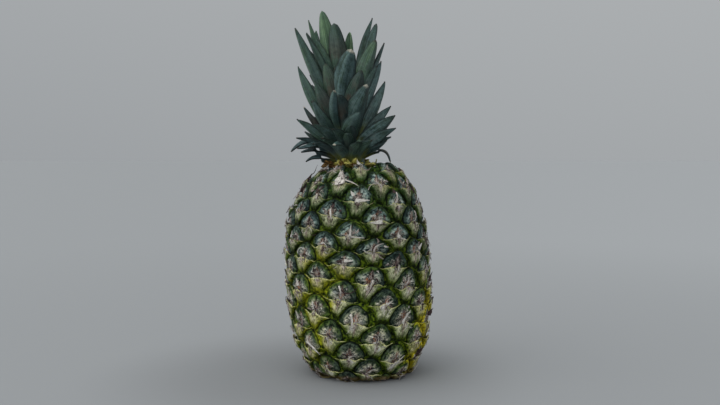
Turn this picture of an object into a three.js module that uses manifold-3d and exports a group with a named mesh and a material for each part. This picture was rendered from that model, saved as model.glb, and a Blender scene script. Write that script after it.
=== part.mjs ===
// A whole pineapple: a leaning barrel of fruitlets laid in one spiral, under a crown of channelled leaves.
// Millimetres, +Z up, the front towards -Y. The origin is the middle of the flat base.

import * as THREE from 'three';
import Module from 'manifold-3d';

// Driving sizes of the fruit
const fruitRadius = 62.3;
const widestHeight = 83;
const topRise = 100.5;
const baseDrop = 100;
const topFullness = 2.8;
const baseFullness = 2.6;
const sideFullness = 2.4;
const baseRounding = 2.5;
const leanPerHeight = 0.042;
const cutRadius = 29;

// The right shoulder stands higher than the left one
const shoulderTilt = 4.5;
const tiltHeights = [115, 172];

// The spiral of fruitlets: the turn and the step down the rind from one to the next
const turnDegrees = 41.91;
const firstDegrees = 3.75;
const firstDrop = -73.5;
const stepDrop = 1.672;
const dropWave = { along: 1, across: 2.65, period: 80 };
const tiltDrop = 3.8;
const sideSqueeze = 12.5;
const sideSpread = 4.5;
const firstFruitlet = -21;
const lastFruitlet = 103;
const neighbours = { short: 8, long: 9, below: 17 };
const placeJitter = 1.3;
const cornerDrop = 3;
const cornerPinch = 2.8;

// Fruitlets that sit off the even spiral: number, millimetres to the right and down
const unevenPlaces = new Map([
  [-17, [0, -4]], [-16, [3, 3]], [-9, [-2, -2]], [-1, [-4, -4]], [1, [-1, 2]], [9, [-2, 2]], [16, [0, -3]],
  [17, [-1, 3]], [24, [5, 0]], [27, [5, -2]], [33, [4, -1]], [35, [4, -3]], [36, [4, 2]], [43, [5, -2]],
  [44, [-4, -1]], [51, [6, -1]], [52, [-2, 3]], [59, [6, -2]], [60, [-4, 3]], [61, [0, -4]], [67, [6, -4]],
  [68, [-2, 2]], [70, [3, -2]], [76, [-3, -2]], [77, [-1, 2]], [78, [0, 3]], [85, [-2, 4]],
]);

// Relief of one fruitlet, measured from the outline over the bumps
const grooveDepth = 4;
const rimDepth = 1.2;
const rimShare = 0.85;
const domeDepth = 0.5;
const dentDepth = 1.6;
const lipDepth = 0.3;
const tipRise = 2.2;

// Driving sizes of the crown
const seatHeight = 176.5;
const seatGap = 0.35;
const seatAcross = -10.5;
const crownLean = 0.078;
const stemRadius = 17;
const stemTopRadius = 5;
const stemHeight = 70;
const leafThickness = 1.7;
const leafChannel = 0.3;
const leafSteps = [0, 0.35, 0.65, 0.85];
const leafTaper = 0.45;

// Leaves that face the front and the sides: the way each one faces (degrees from the front, + to the right), its
// tip across, up and towards the front, the height of its root, its width, its bow (share of its length) and, for
// some, how far its middle bends sideways
const frontLeaves = [
  [-22, -34.0, 308.8, 0, 204, 17, 0.01, -1],
  [8, -24.0, 296.5, 13, 206, 17, 0.03],
  [20, -18.6, 291.0, -4, 212, 12, 0.02],
  [150, -11.4, 292.5, -8, 226, 11, 0.02],
  [-18, -8.4, 273.0, 28, 204, 20, 0.06, -11],
  [-56, -45.6, 302.5, -9, 202, 12, 0.0],
  [-52, -42.0, 293.0, -6, 204, 15, 0.02, -5],
  [-46, -57.6, 294.0, 0, 200, 12.5, 0.02],
  [-50, -55.0, 261.5, 4, 192, 15, -0.02],
  [52, 7.4, 303.5, -3, 210, 12, 0.03],
  [40, 12.4, 297.5, 4, 208, 13, 0.03],
  [26, 10.8, 283.0, 12, 206, 17, 0.02, -4],
  [96, 19.4, 282.5, -6, 206, 12, 0.05],
  [48, 17.8, 265.5, 3, 198, 16, 0.03, -3],
  [60, 20.8, 248.5, 0, 195, 16, 0.03],
  [34, 12.0, 262.0, 10, 198, 15, 0.04, -6],
  [24, 4.2, 243.0, 30, 190, 20, 0.09, -8],
  [-30, -21.5, 239.5, 42, 196, 8, 0.05, -11],
  [112, 17.4, 233.5, -14, 194, 8, 0.05],
  [50, 24.2, 228.0, 8, 189, 14, 0.05],
  [24, 27.6, 219.2, 20, 188, 16, 0.05],
  [28, 28.0, 209.2, 20, 183, 14, 0.08],
  [56, 24.0, 202.4, 12, 184, 10, 0.07],
  [100, 18.8, 199.0, -12, 186, 9, 0.06],
  [56, 21.0, 196.0, 16, 183, 9, 0.1],
  [88, 22.5, 180.0, 0, 182, 3.6, 0.34, 10],
  [-60, -50.0, 227.5, 6, 190, 10, -0.02],
  [-52, -55.0, 217.8, 8, 188, 13, 0.02],
  [-92, -50.0, 206.5, -6, 188, 12, 0.04],
  [-56, -56.0, 201.5, 8, 186, 10, 0.09],
  [-80, -61.0, 189.8, 0, 186, 11, 0.21],
  [-60, -52.6, 188.0, 12, 184, 10, 0.22],
  [-96, -52.0, 187.2, -6, 182, 9, 0.14],
  [-76, -48.0, 181.8, 4, 181, 8, 0.06],
  [12, -2.2, 221.5, 35, 184, 16, 0.13, -8],
  [-20, -24.4, 209.5, 37, 183, 12, 0.12, 4],
  [-40, -40.5, 212.0, 28, 186, 14, 0.1, 5],
  [36, 8.0, 198.5, 34, 181, 16, 0.13, -5],
  [-4, -12.0, 205.0, 40, 181, 10, 0.15],
  [-34, -33.0, 199.0, 34, 182, 11, 0.16],
  [14, -0.5, 256.0, 24, 194, 18, 0.06, -6],
  [-34, -40.4, 248.0, 14, 190, 18, 0.02],
  [-36, -43.0, 229.5, 22, 186, 15, 0.05],
  [-10, -19.5, 237.0, 29, 190, 17, 0.09],
  [-30, -31.0, 263.0, 14, 198, 17, 0.02],
  [2, -10.0, 212.0, 37, 183, 11, 0.13],
  [14, -2.0, 196.0, 38, 180, 12, 0.16],
  [-18, -23.0, 193.0, 38, 180, 11, 0.18],
  [-48, -41.0, 197.0, 26, 182, 10, 0.12],
];

// The leaves that fill in behind them, up the stem in golden-angle steps over the back of it
const fillLeaves = 32;
const goldenShare = 0.381966;
const fillSpread = 236;
const fillRoots = [182, 240];
const fillRises = [16, 80];
const fillReach = { side: 29, back: 46 };
const fillTops = { notchAcross: -5, notch: 266, beside: 296 };

// The ring of short bracts between crown and fruit
const collarBracts = 15;
const collarReach = 24;
const collarWidth = 13;

// Evenly spread draws from a fixed seed
function drawsFrom(seed) {
  let state = seed;
  return () => {
    state = (state * 16807) % 2147483647;
    return (2 * state) / 2147483647 - 1;
  };
}

// The fruit's outline as points of radius, height and distance along the rind, downwards from the widest ring
function traceOutline() {
  const steps = 700;
  const points = [];
  for (let i = 0; i <= 2 * steps; i += 1) {
    const angle = (Math.PI * i) / (2 * steps);
    const upper = i < steps;
    const rise = Math.abs(Math.cos(angle)) ** (2 / (upper ? topFullness : baseFullness));
    const height = widestHeight + (upper ? topRise : -baseDrop) * rise;
    const softened = (height + Math.hypot(height, baseRounding)) / 2 - baseRounding / 10;
    const radius = fruitRadius * Math.abs(Math.sin(angle)) ** (2 / sideFullness);
    points.push({ radius, height: Math.max(0, softened), along: 0 });
  }
  for (let i = 1; i < points.length; i += 1) {
    const step = Math.hypot(points[i].radius - points[i - 1].radius, points[i].height - points[i - 1].height);
    points[i].along = points[i - 1].along + step;
  }
  const widest = points[steps].along;
  points.forEach((point) => {
    point.along -= widest;
  });
  return points;
}

const outline = traceOutline();

function outlineAt(along) {
  let low = 0;
  let high = outline.length - 1;
  while (high - low > 1) {
    const middle = (low + high) >> 1;
    if (outline[middle].along > along) high = middle;
    else low = middle;
  }
  const a = outline[low];
  const b = outline[high];
  const share = THREE.MathUtils.clamp((along - a.along) / (b.along - a.along || 1), 0, 1);
  const length = Math.hypot(b.radius - a.radius, b.height - a.height) || 1;
  return {
    radius: THREE.MathUtils.lerp(a.radius, b.radius, share),
    height: THREE.MathUtils.lerp(a.height, b.height, share),
    outAcross: (a.height - b.height) / length,
    outUp: (b.radius - a.radius) / length,
  };
}

// A point of the rind: degrees round it from the front, millimetres down along it, and how far out it stands
function rindPoint(degrees, along, out) {
  const at = outlineAt(along);
  const angle = THREE.MathUtils.degToRad(degrees);
  const underBase = at.height < 0.5;
  const reach = at.radius + out * at.outAcross;
  const height = underBase && reach < cutRadius + 6 ? 0 : Math.max(0, at.height + out * at.outUp);
  const tilt = shoulderTilt * Math.sin(angle) * THREE.MathUtils.smoothstep(height, ...tiltHeights);
  const across = reach * Math.sin(angle) - leanPerHeight * height;
  return new THREE.Vector3(across, -reach * Math.cos(angle), height + tilt);
}

function placeFruitlets() {
  const draw = drawsFrom(4021);
  const places = new Map();
  const margin = neighbours.below;
  for (let i = firstFruitlet - margin; i <= lastFruitlet + margin; i += 1) {
    const even = firstDegrees + turnDegrees * i;
    const angle = THREE.MathUtils.degToRad(even);
    const wave = (2 * Math.PI * i) / dropWave.period;
    const along =
      firstDrop +
      stepDrop * i +
      dropWave.along * Math.sin(wave) +
      dropWave.across * Math.cos(wave) +
      tiltDrop * Math.sin(angle);
    const degrees = even + sideSpread * Math.sin(2 * angle) - sideSqueeze * Math.sin(angle);
    const ringRadius = Math.max(20, outlineAt(along).radius);
    const shift = [placeJitter * draw(), placeJitter * draw()];
    const [right, down] = unevenPlaces.get(i) || shift;
    places.set(i, {
      degrees: degrees + THREE.MathUtils.radToDeg(right / ringRadius),
      along: along + down,
      bulge: draw(),
      twist: draw(),
    });
  }
  return places;
}

// Solids from rows of corner numbers
function solidGeometry(points, faces) {
  const geometry = new THREE.BufferGeometry();
  geometry.setAttribute('position', new THREE.Float32BufferAttribute(points.flatMap((p) => p.toArray()), 3));
  geometry.setIndex(faces.flat());
  return geometry;
}

function volumeOf(points, faces) {
  const sum = faces.reduce((total, [a, b, c]) => {
    return total + points[a].dot(new THREE.Vector3().crossVectors(points[b], points[c]));
  }, 0);
  return sum / 6;
}

function facingOut(points, faces) {
  return volumeOf(points, faces) < 0 ? faces.map(([a, b, c]) => [a, c, b]) : faces;
}

// The six corners of a fruitlet, clockwise from the left, as the three fruitlets that meet there
function cornersOf(i) {
  const { short, long, below } = neighbours;
  return [
    [i - long, i, i + short],
    [i - below, i - long, i],
    [i - below, i - short, i],
    [i - short, i, i + long],
    [i, i + long, i + below],
    [i, i + short, i + below],
  ];
}

// Inner points of a fruitlet: share of the way to a corner, or a place between the middle and two corners
const insidePoints = [
  ...[0, 1, 2, 3, 4, 5].map((corner) => ({ corner, share: rimShare, out: -rimDepth })),
  { corner: 0, share: 0.62, drop: 0.1, out: -lipDepth - 0.7 },
  { corner: 3, share: 0, drop: -0.16, out: tipRise },
  { corner: 3, share: 0.62, drop: 0.1, out: -lipDepth - 0.7 },
  { corner: 0, share: 0.4, drop: -0.02, out: -dentDepth },
  { corner: 0, share: 0, drop: 0.02, out: -dentDepth },
  { corner: 3, share: 0.4, drop: -0.02, out: -dentDepth },
  { corner: 1, share: 0.5, out: -domeDepth },
  { corner: 2, share: 0.5, out: -domeDepth },
];

const insideFaces = [
  [6, 7, 18], [6, 18, 15], [15, 18, 16], [7, 8, 19], [7, 19, 18], [18, 19, 16], [19, 8, 9], [19, 9, 17],
  [16, 19, 17], [6, 15, 12], [12, 15, 16], [12, 16, 13], [13, 16, 17], [13, 17, 14], [14, 17, 9],
  [6, 12, 11], [11, 12, 13], [11, 13, 10], [10, 13, 14], [10, 14, 9],
];

function buildFruit() {
  const places = placeFruitlets();
  const points = [];
  const faces = [];
  const cornerNumbers = new Map();

  function cornerPlace(trio) {
    const [a, b, c] = trio.map((i) => places.get(i));
    const bend = (other) => other.degrees + 360 * Math.round((a.degrees - other.degrees) / 360);
    const along = (a.along + b.along + c.along) / 3 + cornerDrop;
    const pinch = trio[1] - trio[0] === neighbours.long ? -cornerPinch : cornerPinch;
    return { degrees: (a.degrees + bend(b) + bend(c)) / 3 + pinch, along };
  }

  function cornerNumber(trio) {
    const key = trio.join();
    if (!cornerNumbers.has(key)) {
      const place = cornerPlace(trio);
      cornerNumbers.set(key, points.length);
      points.push(rindPoint(place.degrees, place.along, -grooveDepth));
    }
    return cornerNumbers.get(key);
  }

  const borders = new Map();
  for (let i = firstFruitlet; i <= lastFruitlet; i += 1) {
    const middle = places.get(i);
    const trios = cornersOf(i);
    const numbers = trios.map(cornerNumber);
    const corners = trios.map((trio) => {
      const place = cornerPlace(trio);
      const turns = 360 * Math.round((middle.degrees - place.degrees) / 360);
      return { degrees: place.degrees + turns, along: place.along };
    });
    const tall = (corners[4].along + corners[5].along - corners[1].along - corners[2].along) / 2;
    const wide = corners[3].degrees - corners[0].degrees;
    insidePoints.forEach(({ corner, share, drop = 0, out }) => {
      const isTip = out > 0;
      const degrees = middle.degrees + share * (corners[corner].degrees - middle.degrees);
      const along = middle.along + share * (corners[corner].along - middle.along) + drop * tall;
      const sway = isTip ? 0.08 * wide * middle.twist : 0;
      const raise = out + 0.35 * middle.bulge * (isTip ? 2 : 1);
      numbers.push(points.length);
      points.push(rindPoint(degrees + sway, along, raise));
    });
    for (let e = 0; e < 6; e += 1) {
      const next = (e + 1) % 6;
      faces.push([numbers[e], numbers[next], numbers[6 + next]], [numbers[e], numbers[6 + next], numbers[6 + e]]);
      const from = numbers[e];
      const to = numbers[next];
      if (borders.get(to) && borders.get(to).has(from)) borders.get(to).delete(from);
      else borders.set(from, (borders.get(from) || new Set()).add(to));
    }
    insideFaces.forEach((face) => faces.push(face.map((corner) => numbers[corner])));
  }

  // The ragged ends of the spiral close on the crown's seat and on the flat base
  const seat = points.push(new THREE.Vector3(seatAcross, 0, seatHeight)) - 1;
  const cut = points.push(new THREE.Vector3(0, 0, 0)) - 1;
  borders.forEach((ends, from) => {
    ends.forEach((to) => {
      const centre = points[from].z > widestHeight ? seat : cut;
      faces.push([to, from, centre]);
      if (centre === cut) points[from].z = 0;
      else points[from].z = Math.min(points[from].z, seatHeight);
    });
  });
  return solidGeometry(points, facingOut(points, faces));
}

// One leaf: a channelled strip along a bent path from its root to a pointed tip
function leafParts({ facing, tip, root, width, bow, bend = 0, thick = leafThickness }) {
  const angle = THREE.MathUtils.degToRad(facing);
  const outward = new THREE.Vector3(Math.sin(angle), -Math.cos(angle), 0);
  const across = new THREE.Vector3(Math.cos(angle), Math.sin(angle), 0);
  const path = leafPath(outward, tip, root, bow, bend);
  const points = [];
  leafSteps.forEach((t) => {
    const centre = path.getPoint(t);
    const ahead = path.getTangent(t);
    const side = across.clone().addScaledVector(ahead, -across.dot(ahead)).normalize();
    const under = new THREE.Vector3().crossVectors(side, ahead).normalize();
    if (under.dot(outward) < 0) under.negate();
    const half = (width / 2) * leafOutline(t);
    const wall = thick * (1 - 0.55 * t);
    points.push(centre.clone().addScaledVector(side, -half));
    points.push(centre.clone().addScaledVector(under, leafChannel * half * 2 * 0.5 + wall / 2));
    points.push(centre.clone().addScaledVector(side, half));
    points.push(centre.clone().addScaledVector(under, leafChannel * half * 2 * 0.5 - wall / 2));
  });
  const last = points.push(path.getPoint(1)) - 1;
  const faces = [[0, 1, 3], [1, 2, 3]];
  for (let row = 0; row < leafSteps.length - 1; row += 1) {
    const a = 4 * row;
    const b = a + 4;
    faces.push([a, b, a + 1], [b, b + 1, a + 1], [a + 2, a + 1, b + 2], [b + 2, a + 1, b + 1]);
    faces.push([a, a + 3, b], [b, a + 3, b + 3], [a + 2, b + 2, a + 3], [b + 2, b + 3, a + 3]);
  }
  const end = 4 * (leafSteps.length - 1);
  faces.push([end, last, end + 1], [end + 1, last, end + 2], [end + 2, last, end + 3], [end + 3, last, end]);
  return { points, faces: facingOut(points, faces) };
}

function stemCentre(height) {
  return new THREE.Vector3(seatAcross - crownLean * (height - seatHeight), 0, height);
}

function leafPath(outward, tip, root, bow, bend) {
  const risen = THREE.MathUtils.clamp((root - seatHeight) / stemHeight, 0, 1);
  const radius = THREE.MathUtils.lerp(stemRadius, stemTopRadius, risen);
  const start = stemCentre(root).addScaledVector(outward, radius * 0.55);
  const chord = tip.clone().sub(start);
  const rise = new THREE.Vector3(0, 0, 1).addScaledVector(outward, -0.35);
  rise.addScaledVector(chord, -rise.dot(chord) / chord.lengthSq()).normalize();
  const middle = start.clone().lerp(tip, 0.5).addScaledVector(rise, 2 * bow * chord.length());
  middle.x += bend;
  return new THREE.QuadraticBezierCurve3(start, middle, tip);
}

// Share of the full width along a leaf: a clasping foot, an even middle, then a curved taper to the tip
function leafOutline(t) {
  const taper = Math.sin((Math.PI / 2) * Math.min(1, (1 - t) / leafTaper));
  return Math.min(1, 0.85 + 0.5 * t) * taper ** 0.85;
}

function stemParts() {
  const sides = 12;
  const rings = [[0, stemRadius], [8, stemRadius], [stemHeight, stemTopRadius]];
  const points = [];
  const faces = [];
  rings.forEach(([up, radius]) => {
    const centre = stemCentre(seatHeight + seatGap + up);
    for (let i = 0; i < sides; i += 1) {
      const angle = (2 * Math.PI * i) / sides;
      points.push(centre.clone().add(new THREE.Vector3(radius * Math.cos(angle), radius * Math.sin(angle), 0)));
    }
  });
  const foot = points.push(stemCentre(seatHeight + seatGap)) - 1;
  const head = points.push(stemCentre(seatHeight + seatGap + stemHeight)) - 1;
  for (let i = 0; i < sides; i += 1) {
    const next = (i + 1) % sides;
    faces.push([next, i, foot], [i + 2 * sides, next + 2 * sides, head]);
    for (let ring = 0; ring < 2; ring += 1) {
      const a = ring * sides;
      faces.push([a + i, a + next, a + sides + i], [a + next, a + sides + next, a + sides + i]);
    }
  }
  return { points, faces: facingOut(points, faces) };
}

function fillParts() {
  const draw = drawsFrom(977);
  const leaves = [];
  for (let k = 0; k < fillLeaves; k += 1) {
    const share = k / (fillLeaves - 1);
    const facing = 180 + fillSpread * (((goldenShare * k + 0.3) % 1) - 0.5);
    const angle = THREE.MathUtils.degToRad(facing);
    const front = Math.max(0, Math.cos(angle));
    const root = THREE.MathUtils.lerp(fillRoots[0], fillRoots[1], share);
    const rise = THREE.MathUtils.degToRad(THREE.MathUtils.lerp(fillRises[0], fillRises[1], share ** 0.75) + 3 * draw());
    const full = 36 + 34 * Math.sin(Math.PI * share ** 0.85) + 18 * share;
    const length = full * (1 - 0.22 * front) * (1 + 0.08 * draw());
    const limit = THREE.MathUtils.lerp(fillReach.side, fillReach.back, Math.max(0, -Math.cos(angle)) ** 2);
    const reach = Math.min(limit, length * Math.cos(rise) + 8);
    const tip = stemCentre(root + length * Math.sin(rise));
    tip.x += reach * Math.sin(angle);
    tip.y -= reach * Math.cos(angle);
    const beside = THREE.MathUtils.smoothstep(Math.abs(tip.x - fillTops.notchAcross), 6, 18);
    tip.z = Math.min(tip.z, THREE.MathUtils.lerp(fillTops.notch, fillTops.beside, beside));
    leaves.push({ facing, tip, root, width: 14 + 2.5 * draw(), bow: 0.15 - 0.13 * share });
  }
  return leaves;
}

function collarParts() {
  const draw = drawsFrom(311);
  const bracts = [];
  for (let k = 0; k < collarBracts; k += 1) {
    const facing = (360 * k) / collarBracts + 6 * draw();
    const angle = THREE.MathUtils.degToRad(facing);
    const reach = collarReach + 2 * draw();
    const tip = stemCentre(seatHeight);
    tip.x += reach * Math.sin(angle);
    tip.y -= reach * Math.cos(angle);
    tip.z += 8 + 1.5 * draw();
    bracts.push({ facing, tip, root: seatHeight + 3, width: collarWidth, bow: 0.05, thick: 2 });
  }
  return bracts;
}

const wasm = await Module();
wasm.setup();

function toSolid(points, faces) {
  const vertProperties = new Float32Array(points.flatMap((point) => point.toArray()));
  const triVerts = new Uint32Array(faces.flat());
  return new wasm.Manifold(new wasm.Mesh({ numProp: 3, vertProperties, triVerts }));
}

function buildCrown(fruitGeometry) {
  const shown = frontLeaves.map(([facing, across, up, front, root, width, bow, bend]) => {
    return { facing, tip: new THREE.Vector3(across, -front, up), root, width, bow, bend };
  });
  const leaves = [...collarParts(), ...fillParts(), ...shown].map(leafParts);
  const stem = stemParts();
  let crown = toSolid(stem.points, stem.faces);
  leaves.forEach(({ points, faces }) => {
    crown = crown.add(toSolid(points, faces));
  });
  const spots = fruitGeometry.getAttribute('position');
  const numbers = Array.from(fruitGeometry.getIndex().array);
  const faces = Array.from({ length: numbers.length / 3 }, (_, i) => numbers.slice(3 * i, 3 * i + 3));
  [0, seatGap].forEach((raise) => {
    const points = Array.from({ length: spots.count }, (_, i) => {
      return new THREE.Vector3().fromBufferAttribute(spots, i).setZ(spots.getZ(i) + raise);
    });
    crown = crown.subtract(toSolid(points, faces));
  });
  const bodies = crown.decompose().sort((a, b) => b.volume() - a.volume());
  const mesh = bodies[0].getMesh();
  const geometry = new THREE.BufferGeometry();
  geometry.setAttribute('position', new THREE.BufferAttribute(new Float32Array(mesh.vertProperties), 3));
  geometry.setIndex(Array.from(mesh.triVerts));
  return geometry;
}

const rindMaterial = new THREE.MeshStandardMaterial({ color: 0x5f7a45, roughness: 0.6, metalness: 0 });
const leafMaterial = new THREE.MeshStandardMaterial({ color: 0x3d5a4b, roughness: 0.55, metalness: 0 });

const fruitGeometry = buildFruit();
const fruit = new THREE.Mesh(fruitGeometry, rindMaterial);
fruit.name = 'fruit';

const crown = new THREE.Mesh(buildCrown(fruitGeometry), leafMaterial);
crown.name = 'crown';

const pineapple = new THREE.Group();
pineapple.add(fruit, crown);

export default pineapple;
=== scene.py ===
import math
import random
from bisect import bisect_right

import bmesh
import bpy
from mathutils import Euler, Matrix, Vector, noise


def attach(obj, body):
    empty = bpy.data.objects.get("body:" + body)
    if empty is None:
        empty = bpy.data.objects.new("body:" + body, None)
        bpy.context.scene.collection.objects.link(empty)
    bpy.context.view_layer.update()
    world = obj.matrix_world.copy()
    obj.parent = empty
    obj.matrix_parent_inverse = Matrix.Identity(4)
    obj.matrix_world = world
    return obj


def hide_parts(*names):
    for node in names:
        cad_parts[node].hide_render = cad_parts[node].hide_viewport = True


# Whole pineapple with its crown. The plans below are in millimetres, and meshes are built in metres.
mm = 0.001
noise.seed_set(3)  # noise_vector follows this seed, so every run gives the same wobble

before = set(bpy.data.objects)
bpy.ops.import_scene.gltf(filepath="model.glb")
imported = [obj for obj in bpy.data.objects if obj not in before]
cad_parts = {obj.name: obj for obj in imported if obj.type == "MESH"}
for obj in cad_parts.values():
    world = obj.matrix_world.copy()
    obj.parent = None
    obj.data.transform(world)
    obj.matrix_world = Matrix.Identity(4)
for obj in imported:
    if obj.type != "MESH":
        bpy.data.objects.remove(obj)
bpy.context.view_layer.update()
print("pineapple: frame loaded")

cameraPlan = {"across": -2, "back": 730, "up": 184, "tiltDown": 3, "lens": 42.5, "sensor": 36}


def setCamera():
    plan = cameraPlan
    data = bpy.data.cameras.new("camera")
    data.lens = plan["lens"]
    data.sensor_width = plan["sensor"]
    data.clip_start = 0.01
    data.clip_end = 300
    camera = bpy.data.objects.new("camera", data)
    camera.location = Vector((plan["across"], -plan["back"], plan["up"])) * mm
    camera.rotation_euler = (math.radians(90 - plan["tiltDown"]), 0, 0)
    bpy.context.scene.collection.objects.link(camera)
    bpy.context.scene.camera = camera


setCamera()
print("pineapple: camera set")


# Materials

class Wire:
    # the output of a node, written in sums like a number
    def __init__(self, finish, socket):
        self.finish = finish
        self.socket = socket

    def maths(self, operation, *values):
        return self.finish.node("ShaderNodeMath", {"operation": operation}, dict(enumerate(values)))

    def __add__(self, other):
        return self.maths("ADD", self, other)

    def __radd__(self, other):
        return self.maths("ADD", other, self)

    def __sub__(self, other):
        return self.maths("SUBTRACT", self, other)

    def __rsub__(self, other):
        return self.maths("SUBTRACT", other, self)

    def __mul__(self, other):
        return self.maths("MULTIPLY", self, other)

    def __rmul__(self, other):
        return self.maths("MULTIPLY", other, self)

    def __truediv__(self, other):
        return self.maths("DIVIDE", self, other)

    def __rtruediv__(self, other):
        return self.maths("DIVIDE", other, self)

    def __pow__(self, other):
        return self.maths("POWER", self, other)

    def __abs__(self):
        return self.maths("ABSOLUTE", self)


class Finish:
    def __init__(self, name, **constants):
        self.material = bpy.data.materials.new(name)
        self.material.use_nodes = True
        self.tree = self.material.node_tree
        self.shader = self.tree.nodes["Principled BSDF"]
        for socket, value in constants.items():
            self.shader.inputs[socket.replace("_", " ")].default_value = value

    def node(self, kind, settings=None, inputs=None, output=0):
        made = self.tree.nodes.new(kind)
        for key, value in (settings or {}).items():
            if key == "stops":
                self.setStops(made.color_ramp, value)
            else:
                setattr(made, key, value)
        for key, value in (inputs or {}).items():
            self.feed(made.inputs[key], value)
        return Wire(self, made.outputs[output])

    def feed(self, socket, value):
        if isinstance(value, Wire):
            self.tree.links.new(value.socket, socket)
        else:
            socket.default_value = value

    def setStops(self, ramp, stops):
        while len(ramp.elements) < len(stops):
            ramp.elements.new(0.5)
        for element, (place, colour) in zip(ramp.elements, stops):
            element.position = place
            element.color = (*colour, 1)

    def ramp(self, share, *stops):
        return self.node("ShaderNodeValToRGB", {"stops": stops}, {"Fac": share})

    def mix(self, share, low, high, blend="MIX"):
        colours = [c if isinstance(c, Wire) else (*c, 1) for c in (low, high)]
        settings = {"data_type": "RGBA", "blend_type": blend}
        return self.node("ShaderNodeMix", settings, {0: share, 6: colours[0], 7: colours[1]}, 2)

    def tinted(self, colour, tint):
        return self.mix(1.0, colour, tint, "MULTIPLY")

    def between(self, value, low, high):
        settings = {"interpolation_type": "SMOOTHSTEP"}
        return self.node("ShaderNodeMapRange", settings, {"Value": value, "From Min": low, "From Max": high})

    def under(self, value, low, high):
        return 1 - self.between(value, low, high)

    def speckle(self, place, scale, detail=3, roughness=0.55):
        values = {"Vector": place, "Scale": scale, "Detail": detail, "Roughness": roughness}
        return self.node("ShaderNodeTexNoise", None, values)

    def place(self):
        return self.node("ShaderNodeTexCoord", None, None, "Object")

    def split(self, kind, socket, wire):
        parts = self.node(kind, None, {socket: wire})
        return [Wire(self, output) for output in parts.socket.node.outputs]

    def parts(self, vector):
        return self.split("ShaderNodeSeparateXYZ", "Vector", vector)

    def tones(self):
        return self.split("ShaderNodeSeparateColor", "Color", self.toneLayer())

    def toneLayer(self, output=0):
        return self.node("ShaderNodeVertexColor", {"layer_name": "tone"}, None, output)

    def pieceMap(self, name):
        # across runs from -1 at the left to 1 at the right, and the other way from 0 to 1
        across, along, _ = self.parts(self.node("ShaderNodeUVMap", {"uv_map": name}))
        return (across - 0.5) * 2, along

    def join(self, x, y, z):
        return self.node("ShaderNodeCombineXYZ", None, {"X": x, "Y": y, "Z": z})

    def bolder(self, colour, power, gain):
        # more contrast and richer colour, kept below white
        colour = self.node("ShaderNodeGamma", None, {"Color": colour, "Gamma": power})
        return self.mix(1.0, self.tinted(colour, gain), (0.93, 0.92, 0.88), "DARKEN")

    def show(self, skin, roughness, relief=None, depth=0, strength=1.0):
        links = {"Base Color": skin, "Roughness": roughness}
        if relief:
            settings = {"Height": relief, "Distance": depth, "Strength": strength}
            links["Normal"] = self.node("ShaderNodeBump", None, settings)
        for socket, wire in links.items():
            self.feed(self.shader.inputs[socket], wire)
        return self.material


class RindFinish(Finish):
    # what domes and bracts share: flecks, patches, zones of height, and the yellow-green skin
    def __init__(self, name, patchScale, colours):
        super().__init__(name, IOR=1.45, Specular_IOR_Level=0.12)
        self.colours = colours
        self.shade, self.ripe, self.chance = self.tones()
        self.spot = self.place()
        self.x, self.y, self.z = self.parts(self.spot)
        self.fleck = self.speckle(self.spot, 420, 3, 0.7)
        self.patch = self.speckle(self.spot, patchScale, 4, 0.65)
        self.broad = self.speckle(self.spot, 34, 2)
        self.spread = self.between(self.patch * 0.6 + self.fleck * 0.4, 0.38, 0.62)
        self.upper = self.between(self.z, 0.06, 0.13)
        self.high = self.between(self.z + (self.broad - 0.5) * 0.06, 0.115, 0.165)
        self.gold = self.golden()
        self.ripened = self.between(self.ripe + self.gold + (self.broad + self.patch - 1) * 1.6, 0.4, 1.0)

    def golden(self):
        # the ripest skin: low on the right edge, fading to the back
        ripest = self.between(self.x - self.z * 0.3, 0.025, 0.038) * self.under(self.z, 0.060, 0.105)
        return ripest * (1 - self.between(self.y, -0.010, 0.025) * 0.75)

    def lime(self):
        colours = self.colours
        shaded = self.mix(self.gold, colours["limeShade"], colours["goldShade"])
        return self.mix(self.spread, shaded, self.mix(self.gold, colours["lime"], colours["gold"]))

    def wrapUp(self, skin, clouds):
        # the lower half is painted lighter as floor light, clouds darken parts of it all, and the rim just
        # over the cut is brown
        skin = self.mix(1 - self.upper, skin, (1.52, 1.50, 1.54), "MULTIPLY")
        skin = self.mix(clouds, self.tinted(skin, self.colours["cloud"]), skin)
        skin = self.bolder(skin, 1.20, self.colours["gain"])
        heel = self.under(self.z + (self.patch - 0.5) * 0.006, 0.0025, 0.0065) * 0.75
        return self.mix(heel, skin, self.colours["heel"])


domeColours = {
    "rimGap": (0.009, 0.020, 0.013), "rimLow": (0.070, 0.096, 0.066), "rimHigh": (0.066, 0.108, 0.092),
    "greenGap": (0.009, 0.024, 0.003), "green": (0.078, 0.128, 0.030),
    "bloomGap": (0.016, 0.032, 0.032), "bloomLow": (0.37, 0.38, 0.27), "bloomHigh": (0.31, 0.41, 0.37),
    "rayGap": (0.016, 0.014, 0.016), "rayShade": (0.38, 0.36, 0.28), "ray": (0.96, 0.91, 0.80),
    "seam": (0.010, 0.010, 0.010), "fibreGap": (0.022, 0.012, 0.018), "tan": (0.30, 0.190, 0.165),
    "rust": (0.50, 0.21, 0.090), "fibre": (0.90, 0.82, 0.70),
    "limeShade": (0.024, 0.042, 0.001), "goldShade": (0.22, 0.19, 0.009), "lime": (0.33, 0.36, 0.020),
    "gold": (0.60, 0.52, 0.032), "ditchShade": (0.006, 0.016, 0.001), "ditchLow": (0.105, 0.155, 0.007),
    "ditchHigh": (0.062, 0.122, 0.026), "grooveShadeLine": (0.001, 0.003, 0.001),
    "cloud": (0.40, 0.46, 0.50), "gain": (1.50, 1.44, 1.48), "heel": (0.20, 0.135, 0.05),
}


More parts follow.
